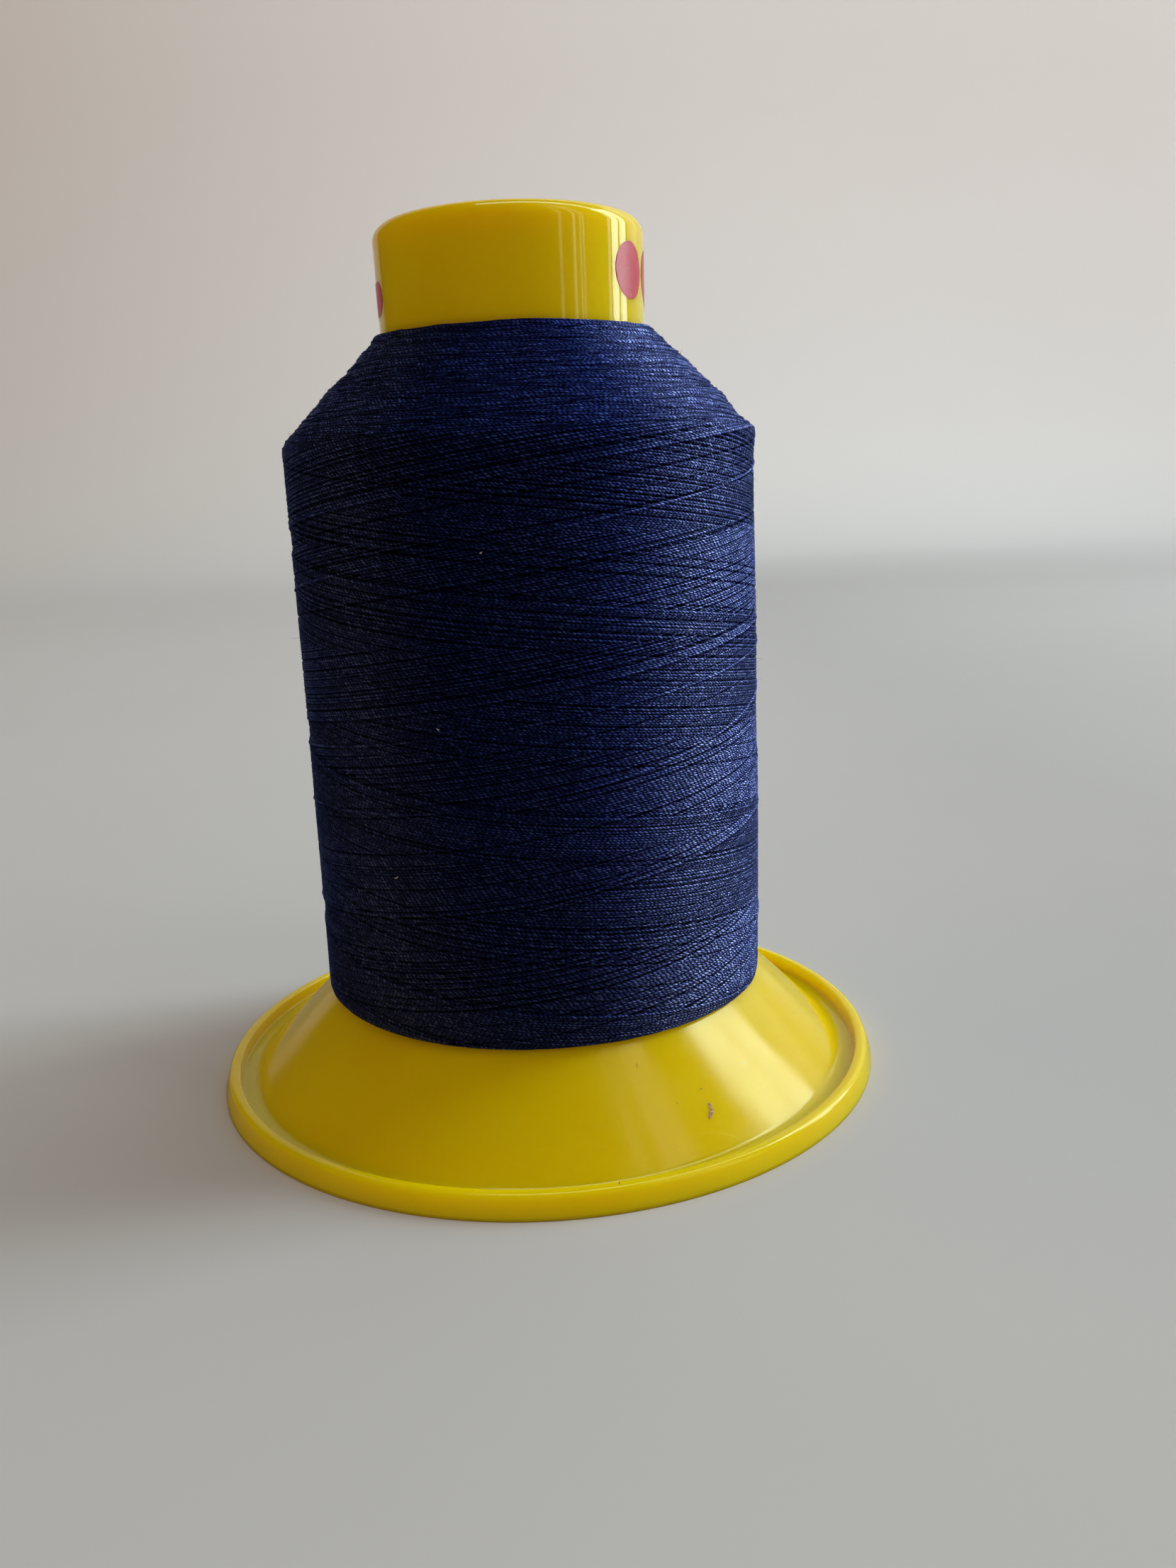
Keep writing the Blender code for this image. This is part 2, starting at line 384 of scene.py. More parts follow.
def plastic_material(name, roughness, smear, marks=()):
    """Cloudy moulded yellow with flow lines round the axis, satin mottling and scratches.

    smear is how much the mottling adds to the roughness.
    """
    mat = Surface(name)
    place = mat.place()
    x, y, z = mat.separate(place)
    cloud = mat.noise(place, scale=45.0, detail=3.0, roughness=0.55)
    # flow lines: rings that follow radius and height
    section = mat.combine(mat.times(mat.radius(x, y), 900.0), mat.times(z, 900.0))
    rings = mat.noise(section, scale=0.55, roughness=0.6)
    grain = mat.noise(place, scale=1500.0, roughness=0.6)
    colour = mat.mix(mat.ramp(cloud, low=0.35, high=0.75), YELLOW, YELLOW_DEEP)
    flow = mat.times(mat.ramp(rings, low=0.45, high=0.8), 0.10)
    colour = mat.mix(flow, colour, YELLOW_FLOW)
    scratches = scratch_mask(mat, place)
    for mark in marks:
        colour = add_mark(mat, place, colour, *mark)

    mottle = mat.noise(place, scale=150.0, detail=4.0, roughness=0.6)
    rough = mat.plus(mat.times(mat.ramp(mottle, low=0.35, high=0.75), smear), roughness)
    relief = mat.bump(grain, strength=0.05, distance=0.00002)
    relief = mat.bump(rings, strength=0.10, distance=0.00006, Normal=relief)
    relief = mat.bump(mat.times(scratches, -1.0), strength=0.25, distance=0.00001, Normal=relief)
    return mat.shade({
        "Base Color": colour,
        "Roughness": mat.plus(rough, mat.times(scratches, 0.12)),
        "Normal": relief,
        "IOR": 1.49,
        "Specular Tint": (1.0, 0.95, 0.56),
        "Subsurface Weight": 0.8,
        "Subsurface Radius": (1.0, 0.80, 0.06),
        "Subsurface Scale": 0.0038,
    })


def thread_material():
    """Plied thread: each strand carries its plies as relief and tone, with shade painted into the
    gaps between.

    The mesh attribute "strand" holds the distance along the strand in plies, the place across
    it from -1 to 1, and the strand's tone; the other attribute is a painted shade factor, 1 on
    crowns and 0 in gaps.
    """
    mat = Surface("navy_thread")
    along, across, tone = mat.separate(mat.source("Attribute", "Vector", attribute_name="strand"))
    # painted shade factor: 1 on the crowns of strands, 0 in the gaps and at the feet of layer steps
    painted_shade_factor = mat.source("Attribute", "Fac", attribute_name="painted_shade_factor")
    # a ply lies on a helix, so its edge moves along the strand by the arcsine of across
    helix = mat.times(mat.math("ARCSINE", mat.times(across, 0.98)), 0.36)
    wander = mat.combine(mat.times(along, 0.35), mat.times(tone, 57.0))
    drift = mat.times(mat.minus(mat.noise(wander, scale=1.0, detail=1.0), 0.5), 1.3)
    phase = mat.plus(mat.plus(along, helix), drift)
    # hump: a parabola over each ply
    from_crown = mat.math("ABSOLUTE", mat.minus(mat.times(mat.math("FRACT", phase), 2.0), 1.0))
    hump = mat.math("MAXIMUM", mat.minus(1.0, mat.math("POWER", from_crown, 2.0)), 0.0)
    ply = mat.math("SQRT", hump)
    # filaments slant across the strand
    slanted = mat.combine(mat.plus(mat.times(along, 1.2), mat.times(across, 1.4)),
                          mat.minus(mat.times(across, 5.0), mat.times(along, 2.2)),
                          mat.times(tone, 31.0))
    filament = mat.noise(slanted, scale=1.6, detail=3.0, roughness=0.65)
    place = mat.place()
    # painted glints on scattered specks, which are also a little less rough
    glint_and_gloss = mat.ramp(mat.noise(place, scale=4200.0, detail=1.0), low=0.56, high=0.76)
    # painted highlight on the crown of each ply, and painted shade between plies and in the gaps
    crest = mat.times(mat.math("POWER", hump, 2.3), 0.96)
    light = mat.times(painted_shade_factor, mat.plus(0.04, crest))
    # painted glints: every bead of a ply is given a different brightness
    turn = mat.math("FLOOR", phase)
    cell = mat.combine(mat.times(turn, 7.31), mat.times(tone, 571.3), mat.times(turn, 3.77))
    bead = mat.ramp(mat.noise(cell, scale=1.0, detail=0.0), low=0.36, high=0.66)
    crown = mat.mix(tone, THREAD_DEEP, THREAD_BRIGHT)
    fibre = mat.times(mat.ramp(filament, low=0.48, high=0.80), 0.45)
    crown = mat.mix(fibre, crown, THREAD_FIBRE)
    # painted glints on the crowns, from the specks and the brightest beads
    crown = mat.mix(mat.times(glint_and_gloss, 0.25), crown, THREAD_GLINT)
    crown = mat.mix(mat.times(mat.math("POWER", bead, 5.0), 0.75), crown, THREAD_GLINT)
    light = mat.times(light, mat.plus(0.64, mat.times(bead, 0.62)))
    # the painted light and shade above mix the gap shade colour with the crown colour
    colour = mat.mix(light, THREAD_GAP_SHADE, crown)
    # painted shade: the fibres lie round the axis, and the colour is darkened where they face the
    # eye
    outward = mat.vector_math("NORMALIZE", mat.vector_math("MULTIPLY", place, (1.0, 1.0, 0.0))[0])
    eye = mat.source("NewGeometry", "Incoming")
    face = mat.vector_math("DOT_PRODUCT", outward[0], eye)["Value"]
    square = mat.ramp(mat.math("ABSOLUTE", face), low=0.58, high=0.96)
    colour = mat.mix(1.0, colour, mat.mix(square, WHITE, THREAD_FACING_SHADE), blend="MULTIPLY")

    relief = mat.bump(ply, strength=1.0, distance=0.000115)
    relief = mat.bump(filament, strength=0.5, distance=0.000028, Normal=relief)
    rough = mat.plus(mat.minus(0.39, mat.times(glint_and_gloss, 0.08)),
                     mat.times(mat.minus(filament, 0.5), 0.15))
    return mat.shade({
        "Base Color": colour,
        "Metallic": 0.95,
        "Specular IOR Level": 0.2,
        "Specular Tint": (0.28, 0.32, 0.48),
        "Normal": relief,
        "Roughness": rough,
    })


def paper_material():
    """Off-white paper with a printed navy band and no text."""
    mat = Surface("label_paper")
    place = mat.place()
    x, y, _ = mat.separate(place)
    stretched = mat.vector_math("MULTIPLY", place, (1.0, 0.35, 1.0))[0]
    fibre = mat.noise(stretched, scale=1800.0, detail=4.0, roughness=0.7)
    cloud = mat.noise(place, scale=220.0, detail=3.0, roughness=0.6)
    colour = mat.mix(mat.ramp(fibre, low=0.3, high=0.75), (0.74, 0.725, 0.68), (0.86, 0.85, 0.82))
    stain = mat.times(mat.ramp(cloud, low=0.4, high=0.8), 0.15)
    colour = mat.mix(stain, colour, (0.66, 0.62, 0.52))
    # the band lies between two radii, in metres, with slightly ragged edges
    ragged = mat.times(mat.minus(mat.noise(place, scale=2500.0), 0.5), 0.00012)
    radius = mat.plus(mat.radius(x, y), ragged)
    band = mat.times(mat.ramp(radius, low=0.00815, high=0.00822),
                     mat.minus(1.0, mat.ramp(radius, low=0.00935, high=0.00942)))
    return mat.shade({
        "Base Color": mat.mix(mat.times(band, 0.94), colour, (0.012, 0.018, 0.075)),
        "Roughness": mat.plus(0.78, mat.times(fibre, 0.15)),
        "Normal": mat.bump(fibre, strength=0.35, distance=0.00003),
    })


def print_material():
    """Red pad-printed ink with a little wear and pinholes."""
    mat = Surface("red_print")
    place = mat.place()
    wear = mat.noise(place, scale=900.0, detail=3.0, roughness=0.6)
    colour = mat.mix(mat.ramp(wear, low=0.35, high=0.8), (0.50, 0.006, 0.036), (0.62, 0.022, 0.060))
    pinholes = mat.ramp(mat.noise(place, scale=5200.0, detail=1.0), low=0.72, high=0.76)
    return mat.shade({
        "Base Color": mat.mix(mat.times(pinholes, 0.6), colour, YELLOW),
        "Roughness": mat.plus(0.26, mat.times(wear, 0.16)),
        "Normal": mat.bump(wear, strength=0.15, distance=0.00002),
    })


def lint_material(name, colour):
    mat = Surface(name)
    value = mat.noise(mat.place(), scale=3000.0)
    return mat.shade({
        "Base Color": mat.mix(value, tuple(channel * 0.7 for channel in colour), colour),
        "Roughness": 0.8,
        "Sheen Weight": 0.3,
    })


def scrap_material():
    """Brown with pale torn fibres."""
    mat = Surface("scrap_brown")
    value = mat.noise(mat.place(), scale=5200.0, detail=3.0, roughness=0.6)
    return mat.shade({
        "Base Color": mat.mix(mat.ramp(value, low=0.45, high=0.62),
                              (0.33, 0.17, 0.11), (0.75, 0.64, 0.50)),
        "Roughness": 0.7,
        "Normal": mat.bump(value, strength=0.5, distance=0.00003),
    })


# ---------------------------------------------------------------- foot
FOOT_WALL = 1.6                # thickness of the cone, square to its face
GROOVE_Z = 0.95                # floor of the groove between rim and cone
SEAT_Z = BARREL_Z0 - 0.3       # flat at the top of the cone, under the barrel
HUB_Z = 18.2                   # underside of that flat
SLEEVE_R, SLEEVE_BORE = 10.7, 9.3
BEAD_R, BEAD_Z0, BEAD_Z1 = 11.4, 25.2, 26.2    # bead round the sleeve


def cone_inside_r(z):
    return cone_r(z) - FOOT_WALL * math.hypot(1.0, CONE_SLOPE)


def make_foot(material):
    # r, z, fillet radius, fillet steps
    outline = [
        (cone_inside_r(0.0), 0.0, 0.25, 4), (FOOT_R - 0.02, 0.0, 0.06, 3),
        (FOOT_R - 0.06, 0.26, 0.0, 0), (FOOT_R - 0.02, 0.32, 0.0, 0),
        (35.38, RIM_TOP, 0.84, 12), (34.32, RIM_TOP, 0.26, 6),
        (34.24, GROOVE_Z, 0.22, 5), (cone_r(GROOVE_Z), GROOVE_Z, 1.3, 8),
        (cone_r(SEAT_Z), SEAT_Z, 0.3, 4), (SLEEVE_R, SEAT_Z, 0.0, 0),
        (SLEEVE_R, BEAD_Z0, 0.0, 0), (BEAD_R, BEAD_Z0, 0.12, 2),
        (BEAD_R, BEAD_Z1, 0.2, 3), (SLEEVE_R, SLEEVE_TOP, 0.15, 3),
        (SLEEVE_BORE, SLEEVE_TOP, 0.15, 3), (SLEEVE_BORE, HUB_Z, 0.4, 4),
        (cone_inside_r(HUB_Z), HUB_Z, 0.5, 4),
    ]
    piece = turned("foot_moulding", rounded(outline), material)
    # six ribs under the cone; r, z
    rib = [(cone_inside_r(1.0) + 0.6, 1.0), (cone_inside_r(15.6) + 0.6, 15.6),
           (11.4, HUB_Z + 0.5), (11.0, HUB_Z + 0.5), (11.0, 11.5), (cone_inside_r(1.0) - 3.0, 1.0)]
    boolean(piece, plates(rib, thickness=1.2, count=6, first=math.radians(15)), "UNION")
    # four slots through the sleeve's upper end; r, z
    slot = [(8.3, 21.0), (12.4, 21.0), (12.4, 28.2), (8.3, 28.2)]
    boolean(piece, plates(slot, thickness=2.0, count=4), "DIFFERENCE")
    register(piece, "foot", "foot")


# ---------------------------------------------------------------- barrel
TUBE_BORE = TUBE_R - 1.5
LIP_R = 11.0                   # opening at the bottom of the barrel
LIP_TOP = BARREL_Z0 + 1.7
WEB_TOP, WEB_UNDER = BARREL_Z1 - 0.7, BARREL_Z1 - 2.4    # web closing the nose
NOSE_OPENING = 10.3
BORE, BORE_OUT, BORE_Z = 4.8, 6.2, 58.0    # short tube hanging from the web
TAPER_LENGTH = 7.9             # height over which the printing follows the nose's taper


def make_barrel(material):
    # r, z, fillet radius, fillet steps
    outline = [
        (LIP_R, BARREL_Z0, 0.3, 3), (TUBE_R, BARREL_Z0, 0.25, 3),
        (TUBE_R, TAPER_Z, 0.0, 0), (BARREL_R, BARREL_Z1, 1.75, 16),
        (NOSE_OPENING, BARREL_Z1, 0.25, 4), (NOSE_OPENING, WEB_TOP, 0.15, 3),
        (BORE, WEB_TOP, 0.6, 6), (BORE, BORE_Z, 0.2, 3),
        (BORE_OUT, BORE_Z, 0.2, 3), (BORE_OUT + 0.3, WEB_UNDER, 0.5, 4),
        (TUBE_BORE, WEB_UNDER, 0.8, 5), (TUBE_BORE, LIP_TOP, 0.0, 0), (LIP_R, LIP_TOP, 0.15, 3),
    ]
    piece = turned("barrel_moulding", rounded(outline), material)
    # four ribs inside the tube; r, z
    rib = [(9.9, 21.4), (TUBE_BORE + 0.6, 21.4), (TUBE_BORE + 0.6, 31.0), (9.9, 29.5)]
    boolean(piece, plates(rib, thickness=1.3, count=4), "UNION")
    register(piece, "spool", "barrel")


# name, bearing, distance of the middle below the barrel's top, length round the axis, height
PRINTS = [("print_disc", 59.0, 5.6, 5.2, 5.2),
          ("print_bar_long", 123.0, 5.6, math.radians(100.0) * BARREL_R, 5.2),
          ("print_bar_low", 240.0, 6.9, math.radians(104.0) * BARREL_R, 3.2)]
PRINT_PROUD, PRINT_SUNK = 0.022, 0.03


def make_print(name, bearing, below_top, length, height, material):
    """A bar with round ends, curved onto the barrel. Equal length and height make a disc."""
    end_r = height / 2
    straight = length / 2 - end_r
    steps = max(24, int(length / 0.25))
    if length <= height:
        around = -np.cos(np.linspace(0, math.pi, steps + 1)) * length / 2
    else:
        cap = end_r * (1 - np.cos(np.linspace(0, math.pi / 2, 9)))
        middle = np.linspace(-length / 2 + end_r, straight, steps)
        around = np.concatenate([-length / 2 + cap[:-1], middle, (length / 2 - cap[:-1])[::-1]])
    past_straight = np.maximum(np.abs(around) - straight, 0)
    half = np.sqrt(np.maximum(end_r * end_r - past_straight * past_straight, 1e-6))
    up = np.linspace(-1, 1, 9)
    z = half[:, None] * up[None, :]
    z_mid = BARREL_Z1 - below_top
    dome = PRINT_PROUD * (1 - 0.6 * np.abs(up)[None, :] ** 8)
    taper = np.clip((z_mid + z - TAPER_Z) / TAPER_LENGTH, 0, 1)
    nose = TUBE_R + (BARREL_R - TUBE_R) * taper
    angle = math.radians(bearing) + np.repeat(around[:, None], len(up), 1) / BARREL_R
    coords = np.concatenate([
        np.stack([r * np.sin(angle), -r * np.cos(angle), z_mid + z], -1).reshape(-1, 3)
        for r in (nose + dome, nose - PRINT_SUNK)]) * MM
    index = np.arange(z.size).reshape(z.shape)
    top = np.stack([index[:-1, :-1], index[1:, :-1], index[1:, 1:], index[:-1, 1:]],
                   -1).reshape(-1, 4)
    bottom = top[:, ::-1] + z.size
    rim = np.concatenate([index[:, 0], index[-1, 1:], index[::-1, -1][1:], index[0, ::-1][1:-1]])
    rim_next = np.roll(rim, -1)
    wall = np.stack([rim, rim + z.size, rim_next + z.size, rim_next], -1)
    mesh = mesh_from(name, coords, np.concatenate([top, bottom, wall]))
    mesh.set_sharp_from_angle(angle=math.radians(40))
    register(new_object(name, mesh, material), "spool")


# ---------------------------------------------------------------- winding: profile and grid
PITCH = 0.23              # between neighbouring strands, along the profile
STRAND_HALF = 0.146       # half a strand's width
PLY = 0.47                # length of one ply along the strand
TURNS = 3                 # turns per stroke; a double stroke is two of them
ADVANCE = 19.3            # climb per turn
COLS, SECTORS = 520, 10   # columns round the axis, and the pieces they are split into
ROW = 0.046               # grid step along the profile
COL_DEG = 360.0 / COLS
CORNER_S = 56.2           # where the side meets the sloping shoulder
EDGE_Z = 10.80            # bottom of the straight side

# the side: height, radius
SIDE_Z, SIDE_R = np.transpose([
    (EDGE_Z, 23.96), (16.0, 23.92), (24.0, 23.88), (34.0, 23.86), (46.0, 23.84),
    (56.0, 23.80), (62.0, 23.80), (65.2, 23.86), (66.4, 23.92)])


def arc(centre_r, centre_z, radius, angles):
    return [(centre_r + radius * math.cos(math.radians(angle)),
             centre_z + radius * math.sin(math.radians(angle))) for angle in angles]


def winding_profile():
    """Distances s along the outer profile, and its (r, z) points; s is 0 at the side's foot."""
    points = []
    # underside, along the cone, from near the barrel outwards
    for t in np.linspace(0, 1, 30):
        r = 15.0 + (23.20 - 15.0) * t
        points.append((r, 10.75 + (23.20 - r) / CONE_SLOPE))
    points += arc(23.50, EDGE_Z, 0.42, np.linspace(225, 360, 14)[1:])
    side_start = len(points) - 1
    for z in np.linspace(EDGE_Z + 0.5, 66.4, 60):
        points.append((float(np.interp(z, SIDE_Z, SIDE_R)), z))
    points += arc(23.30, 66.95, 0.60, np.linspace(8, 46, 6))
    # shoulder, bulging slightly, up to the barrel
    r0, z0 = points[-1]
    r1, z1 = 14.20, 77.16
    for t in np.linspace(0, 1, 40)[1:]:
        bulge = 0.12 * math.sin(math.pi * t) ** 0.9 if t < 1 else 0.0
        points.append((r0 + (r1 - r0) * t + bulge * 0.707, z0 + (z1 - z0) * t + bulge * 0.707))
    points += arc(r1 - 0.21, z1 - 0.21, 0.30, np.linspace(46, 120, 8)[1:])
    points.append((13.62, 77.14))
    points = np.array(points)
    distance = np.concatenate([[0], np.cumsum(np.hypot(*np.diff(points, axis=0).T))])
    return distance - distance[side_start], points


PROFILE_S, PROFILE = winding_profile()
S_LOW, S_HIGH = -2.4, PROFILE_S[-1]
ROWS = int((S_HIGH - S_LOW) / ROW) + 1
ROW_S = S_LOW + np.arange(ROWS) * ROW
ROW_S[-1] = S_HIGH
ROW_R = np.interp(ROW_S, PROFILE_S, PROFILE[:, 0])
ROW_Z = np.interp(ROW_S, PROFILE_S, PROFILE[:, 1])


def radius_at(s):
    return np.interp(s, PROFILE_S, PROFILE[:, 0])


def blur(grid, sigma, axis):
    """Gaussian blur along one axis; axis 1, round the spool, wraps and axis 0 does not."""
    reach = int(3 * sigma + 1)
    offsets = np.arange(-reach, reach + 1)
    weights = np.exp(-0.5 * (offsets / sigma) ** 2)
    weights /= weights.sum()
    size = grid.shape[axis]
    result = np.zeros_like(grid)
    for offset, weight in zip(offsets, weights):
        if axis == 1:
            result += weight * np.roll(grid, offset, axis)
        else:
            result += weight * np.take(grid, np.clip(np.arange(size) + offset, 0, size - 1), axis)
    return result


def random_field(cell_rows, cell_cols, seed):
    """A smooth random field on the grid, periodic round the axis, with cells of this size."""
    count = max(3, int(round(COLS / cell_cols)))
    lattice = np.random.default_rng(seed).standard_normal((int(ROWS / cell_rows) + 3, count))
    y = np.arange(ROWS) / cell_rows
    x = np.arange(COLS) / COLS * count
    row, col = y.astype(int), x.astype(int)
    fy, fx = (y - row)[:, None], (x - col)[None, :]
    fy, fx = fy * fy * (3 - 2 * fy), fx * fx * (3 - 2 * fx)
    left, right = col % count, (col + 1) % count
    low = lattice[row][:, left] * (1 - fx) + lattice[row][:, right] * fx
    high = lattice[row + 1][:, left] * (1 - fx) + lattice[row + 1][:, right] * fx
    return low * (1 - fy) + high * fy


# ---------------------------------------------------------------- winding: laying the strands
class Strands:
    """For each grid cell: the strand on top, the place across it from -1 to 1, and its lift."""

    def __init__(self):
        self.rng = np.random.default_rng(417)
        self.order = np.full((ROWS, COLS), -1, np.int32)
        self.across = np.zeros((ROWS, COLS), np.float32)
        self.lift = np.zeros((ROWS, COLS), np.float32)
        # the newest rising and falling strand over each cell
        self.newest = [np.full((ROWS, COLS), -400, np.int32) for _ in range(2)]
        self.tones, self.shifts, self.radii = [], [], []

    def lay(self, path, start, end, half_width=STRAND_HALF, lift=0.0, family=None, shift=None):
        """Lays a strand from start to end in degrees; path gives s at an array of bearings.

        family 0 is a rising strand and 1 a falling one; shift is where its twist begins.
        """
        number = len(self.tones)
        self.tones.append(self.rng.random())
        self.shifts.append(self.rng.random() if shift is None else shift)
        step = np.arange(math.ceil(start / COL_DEG), math.floor(end / COL_DEG) + 1)
        centre = path(step * COL_DEG)
        self.radii.append(float(radius_at(np.median(centre))))
        slope = np.gradient(centre) / (math.radians(COL_DEG) * radius_at(centre))
        half = half_width * np.sqrt(1 + slope * slope)
        col = np.mod(step, COLS)
        lift = np.broadcast_to(lift, col.shape)
        middle = np.rint((centre - S_LOW) / ROW).astype(int)
        reach = int(math.ceil(half.max() / ROW)) + 1
        for offset in range(-reach, reach + 1):
            row = middle + offset
            across = (S_LOW + row * ROW - centre) / half
            inside = (np.abs(across) < 1) & (row >= 0) & (row < ROWS)
            cells = row[inside], col[inside]
            self.order[cells] = number
            self.across[cells] = across[inside]
            self.lift[cells] = lift[inside]
            if family is not None:
                self.newest[family][cells] = number


def lay_base(strands):
    """Level coils under everything, so that no cell is empty."""
    rng = strands.rng
    s = S_LOW
    while s < S_HIGH + 0.2:
        phase = rng.random() * 360
        sway = 0.05 + 0.05 * rng.random()
        strands.lay(lambda deg: s + sway * np.sin(np.radians(deg + phase)),
                    0, 360 - COL_DEG * 0.5, lift=-0.05 * rng.random())
        s += PITCH * (0.80 + 0.3 * rng.random())


def lay_shoulder(strands):
    """The reversals of every layer, from the nose outwards, as overlapping shallow arches."""
    rng = strands.rng
    climb = ADVANCE / (2 * math.pi * 23.85)
    for level in np.sort(rng.random(2300))[::-1]:
        crown = (CORNER_S - 0.4 + (S_HIGH - 0.25 - CORNER_S + 0.4) * level
                 + rng.normal(0, 0.16))
        radius = float(radius_at(crown))
        span = math.degrees((7.0 + 12.0 * rng.random()) / radius)
        middle = rng.random() * 360
        lean = rng.normal(0, 0.010)
        bend = 4.0 + 5.0 * rng.random()
        wobble, phase = 0.05 * rng.random(), rng.random() * 6.28

        def arch(deg):
            x = np.radians(deg - middle) * radius
            return (crown - climb * (np.sqrt(x * x + bend * bend) - bend) + lean * x
                    + wobble * np.sin(x * 0.8 + phase))

        bearings = np.arange(math.ceil((middle - span) / COL_DEG),
                             math.floor((middle + span) / COL_DEG) + 1) * COL_DEG
        # the ends of an arch sink under its neighbours
        sink = -0.16 * np.clip((np.abs(bearings - middle) / span - 0.55) / 0.45, 0, 1)
        strands.lay(arch, middle - span, middle + span,
                    half_width=STRAND_HALF * (0.98 + 0.16 * rng.random()),
                    lift=sink + 0.035 * rng.normal())


STROKES = 200             # double strokes laid on the side
NEWEST_APEX = 75.6        # bearing where the newest one turns back
HALF_STROKE = 360.0 * TURNS
REVERSAL = 11.0           # degrees over which a stroke bends at its ends


def lay_side(strands):
    """Double strokes, each shifted by about one strand from the one before it."""
    rng = strands.rng
    jitter = rng.standard_normal(STROKES) * 0.12
    for i in range(0, STROKES, 17):
        jitter[i] += 0.8 * rng.random()
    step = 360 * PITCH / ADVANCE
    apexes = np.cumsum(step * (1 + jitter - jitter.mean()))
    apexes -= apexes[-1]
    twist = 0.0
    for offset in apexes:
        apex = NEWEST_APEX + offset
        top = 56.92 + 0.10 * rng.standard_normal()
        bottom = -1.05 + 0.10 * rng.standard_normal()
        climb = (top - bottom) / HALF_STROKE
        slow, fast = 0.035 * rng.random(), 0.02 * rng.random()
        slow_phase, fast_phase = rng.random() * 6.28, rng.random() * 6.28

        def stroke(deg):
            from_top = np.abs(deg - apex)
            from_end = HALF_STROKE - from_top
            line = (top - climb * from_top
                    - climb * (np.sqrt(from_top * from_top + REVERSAL * REVERSAL) - from_top)
                    + climb * (np.sqrt(from_end * from_end + REVERSAL * REVERSAL) - from_end))
            angle = np.radians(deg)
            # each stroke wavers by itself, and all of them share a slow sway
            return (line + slow * np.sin(0.37 * angle + slow_phase)
                    + fast * np.sin(1.3 * angle + fast_phase)
                    + 0.10 * np.sin(angle + 1.0) + 0.05 * np.sin(2 * angle + 0.4))

        half_width = STRAND_HALF * (1 + 0.04 * rng.standard_normal())
        # the twist of neighbouring turns stays nearly in step, which draws a slanting twill
        twist += -0.29 + 0.06 * rng.standard_normal()
        strands.lay(stroke, apex - HALF_STROKE, apex, half_width, family=0, shift=twist)
        strands.lay(stroke, apex, apex + HALF_STROKE, half_width, family=1, shift=twist + 0.5)


# the last turns, loose over the pattern; the second runs down to the foot end on the -X side.
# Points are bearing, height.
LOOSE_TURNS = [
    [(-330, 14.5), (-230, 20.0), (-150, 26.8), (-78, 31.9), (-11, 34.4), (25, 36.8), (71, 40.8),
     (140, 45.6), (240, 51.0), (330, 56.6), (420, 62.6), (470, 66.0), (520, 66.6), (600, 62.0),
     (700, 57.5)],
    [(-250, 13.2), (-180, 14.8), (-120, 18.6), (-65, 22.2), (1, 24.8), (33, 28.9), (63, 32.9),
     (120, 35.2), (200, 36.4), (282, 37.8), (298, 38.6), (392.6, 43.8), (435, 46.0), (500, 48.0),
     (545, 44.0), (575, 34.0), (600, 22.0), (618, 13.0), (624, 10.6), (628, 9.4)],
]
LOOSE_OFFSET = 11.03      # taken off those heights to give s


def curve_through(points):
    """A smooth (cubic Hermite) path through (bearing, height) points."""
    x, y = np.array(points, float).T
    y = y - LOOSE_OFFSET
    width = np.diff(x)
    slope = np.gradient(y, x)

    def path(deg):
        i = np.clip(np.searchsorted(x, deg) - 1, 0, len(width) - 1)
        q = (deg - x[i]) / width[i]
        return ((1 + 2 * q) * (1 - q) ** 2 * y[i] + q * (1 - q) ** 2 * width[i] * slope[i]
                + q * q * (3 - 2 * q) * y[i + 1] + q * q * (q - 1) * width[i] * slope[i + 1])

    return path


def lay_loose(strands):
    for points in LOOSE_TURNS:
        strands.lay(curve_through(points), points[0][0], points[-1][0],
                    half_width=STRAND_HALF * 1.02, lift=0.10)


# ---------------------------------------------------------------- winding: surface
# lean of the package towards +X: s, outward shift
LEAN = np.transpose([
    (0.0, -0.12), (2.0, -0.10), (6.5, 0.0), (14.0, 0.12), (18.0, 0.12), (29.0, 0.17),
    (40.0, 0.20), (52.0, 0.15), (56.0, 0.12), (60.0, 0.10)])
# swell of the shoulder: s, outward shift at -X, outward shift at +X
SWELL_S, SWELL_WEST, SWELL_EAST = np.transpose([
    (CORNER_S, 0.0, 0.0), (57.7, 0.16, 0.06), (60.6, 0.08, 0.13), (63.5, -0.05, 0.10),
    (66.4, -0.22, 0.02), (69.5, -0.20, -0.04), (70.6, 0.0, 0.0)])
S_COLUMN = ROW_S[:, None]
END_FADE = np.clip((S_HIGH - S_COLUMN) / 0.25, 0, 1)    # closes the surface at the nose end


def smoothstep(t):
    return t * t * (3 - 2 * t)


def layer_level(strands, side_end):
    """Height of the layers: older strands lie deeper, and both ends are uneven or sunk."""
    per_age = 2 * (ADVANCE / PITCH)
    rising, falling = (np.clip((side_end - newest) / per_age, 0.0, 1.9)
                       for newest in strands.newest)
    level = -0.115 * (rising + falling)
    shoulder = smoothstep(np.clip((ROW_S - (CORNER_S - 0.8)) / 1.4, 0, 1)[:, None])
    underside = np.clip((-ROW_S - 0.1) / 0.7, 0, 1)[:, None]
    rough = (random_field(26, 14, seed=5) * 0.055 + random_field(60, 40, seed=6) * 0.085
             + random_field(9, 8, seed=11) * 0.020)
    level = (level * (1 - shoulder) * (1 - underside) + (-0.17 + rough) * shoulder
             + (-0.22) * underside)
    return blur(blur(level, 1.0, 1), 0.8, 0)


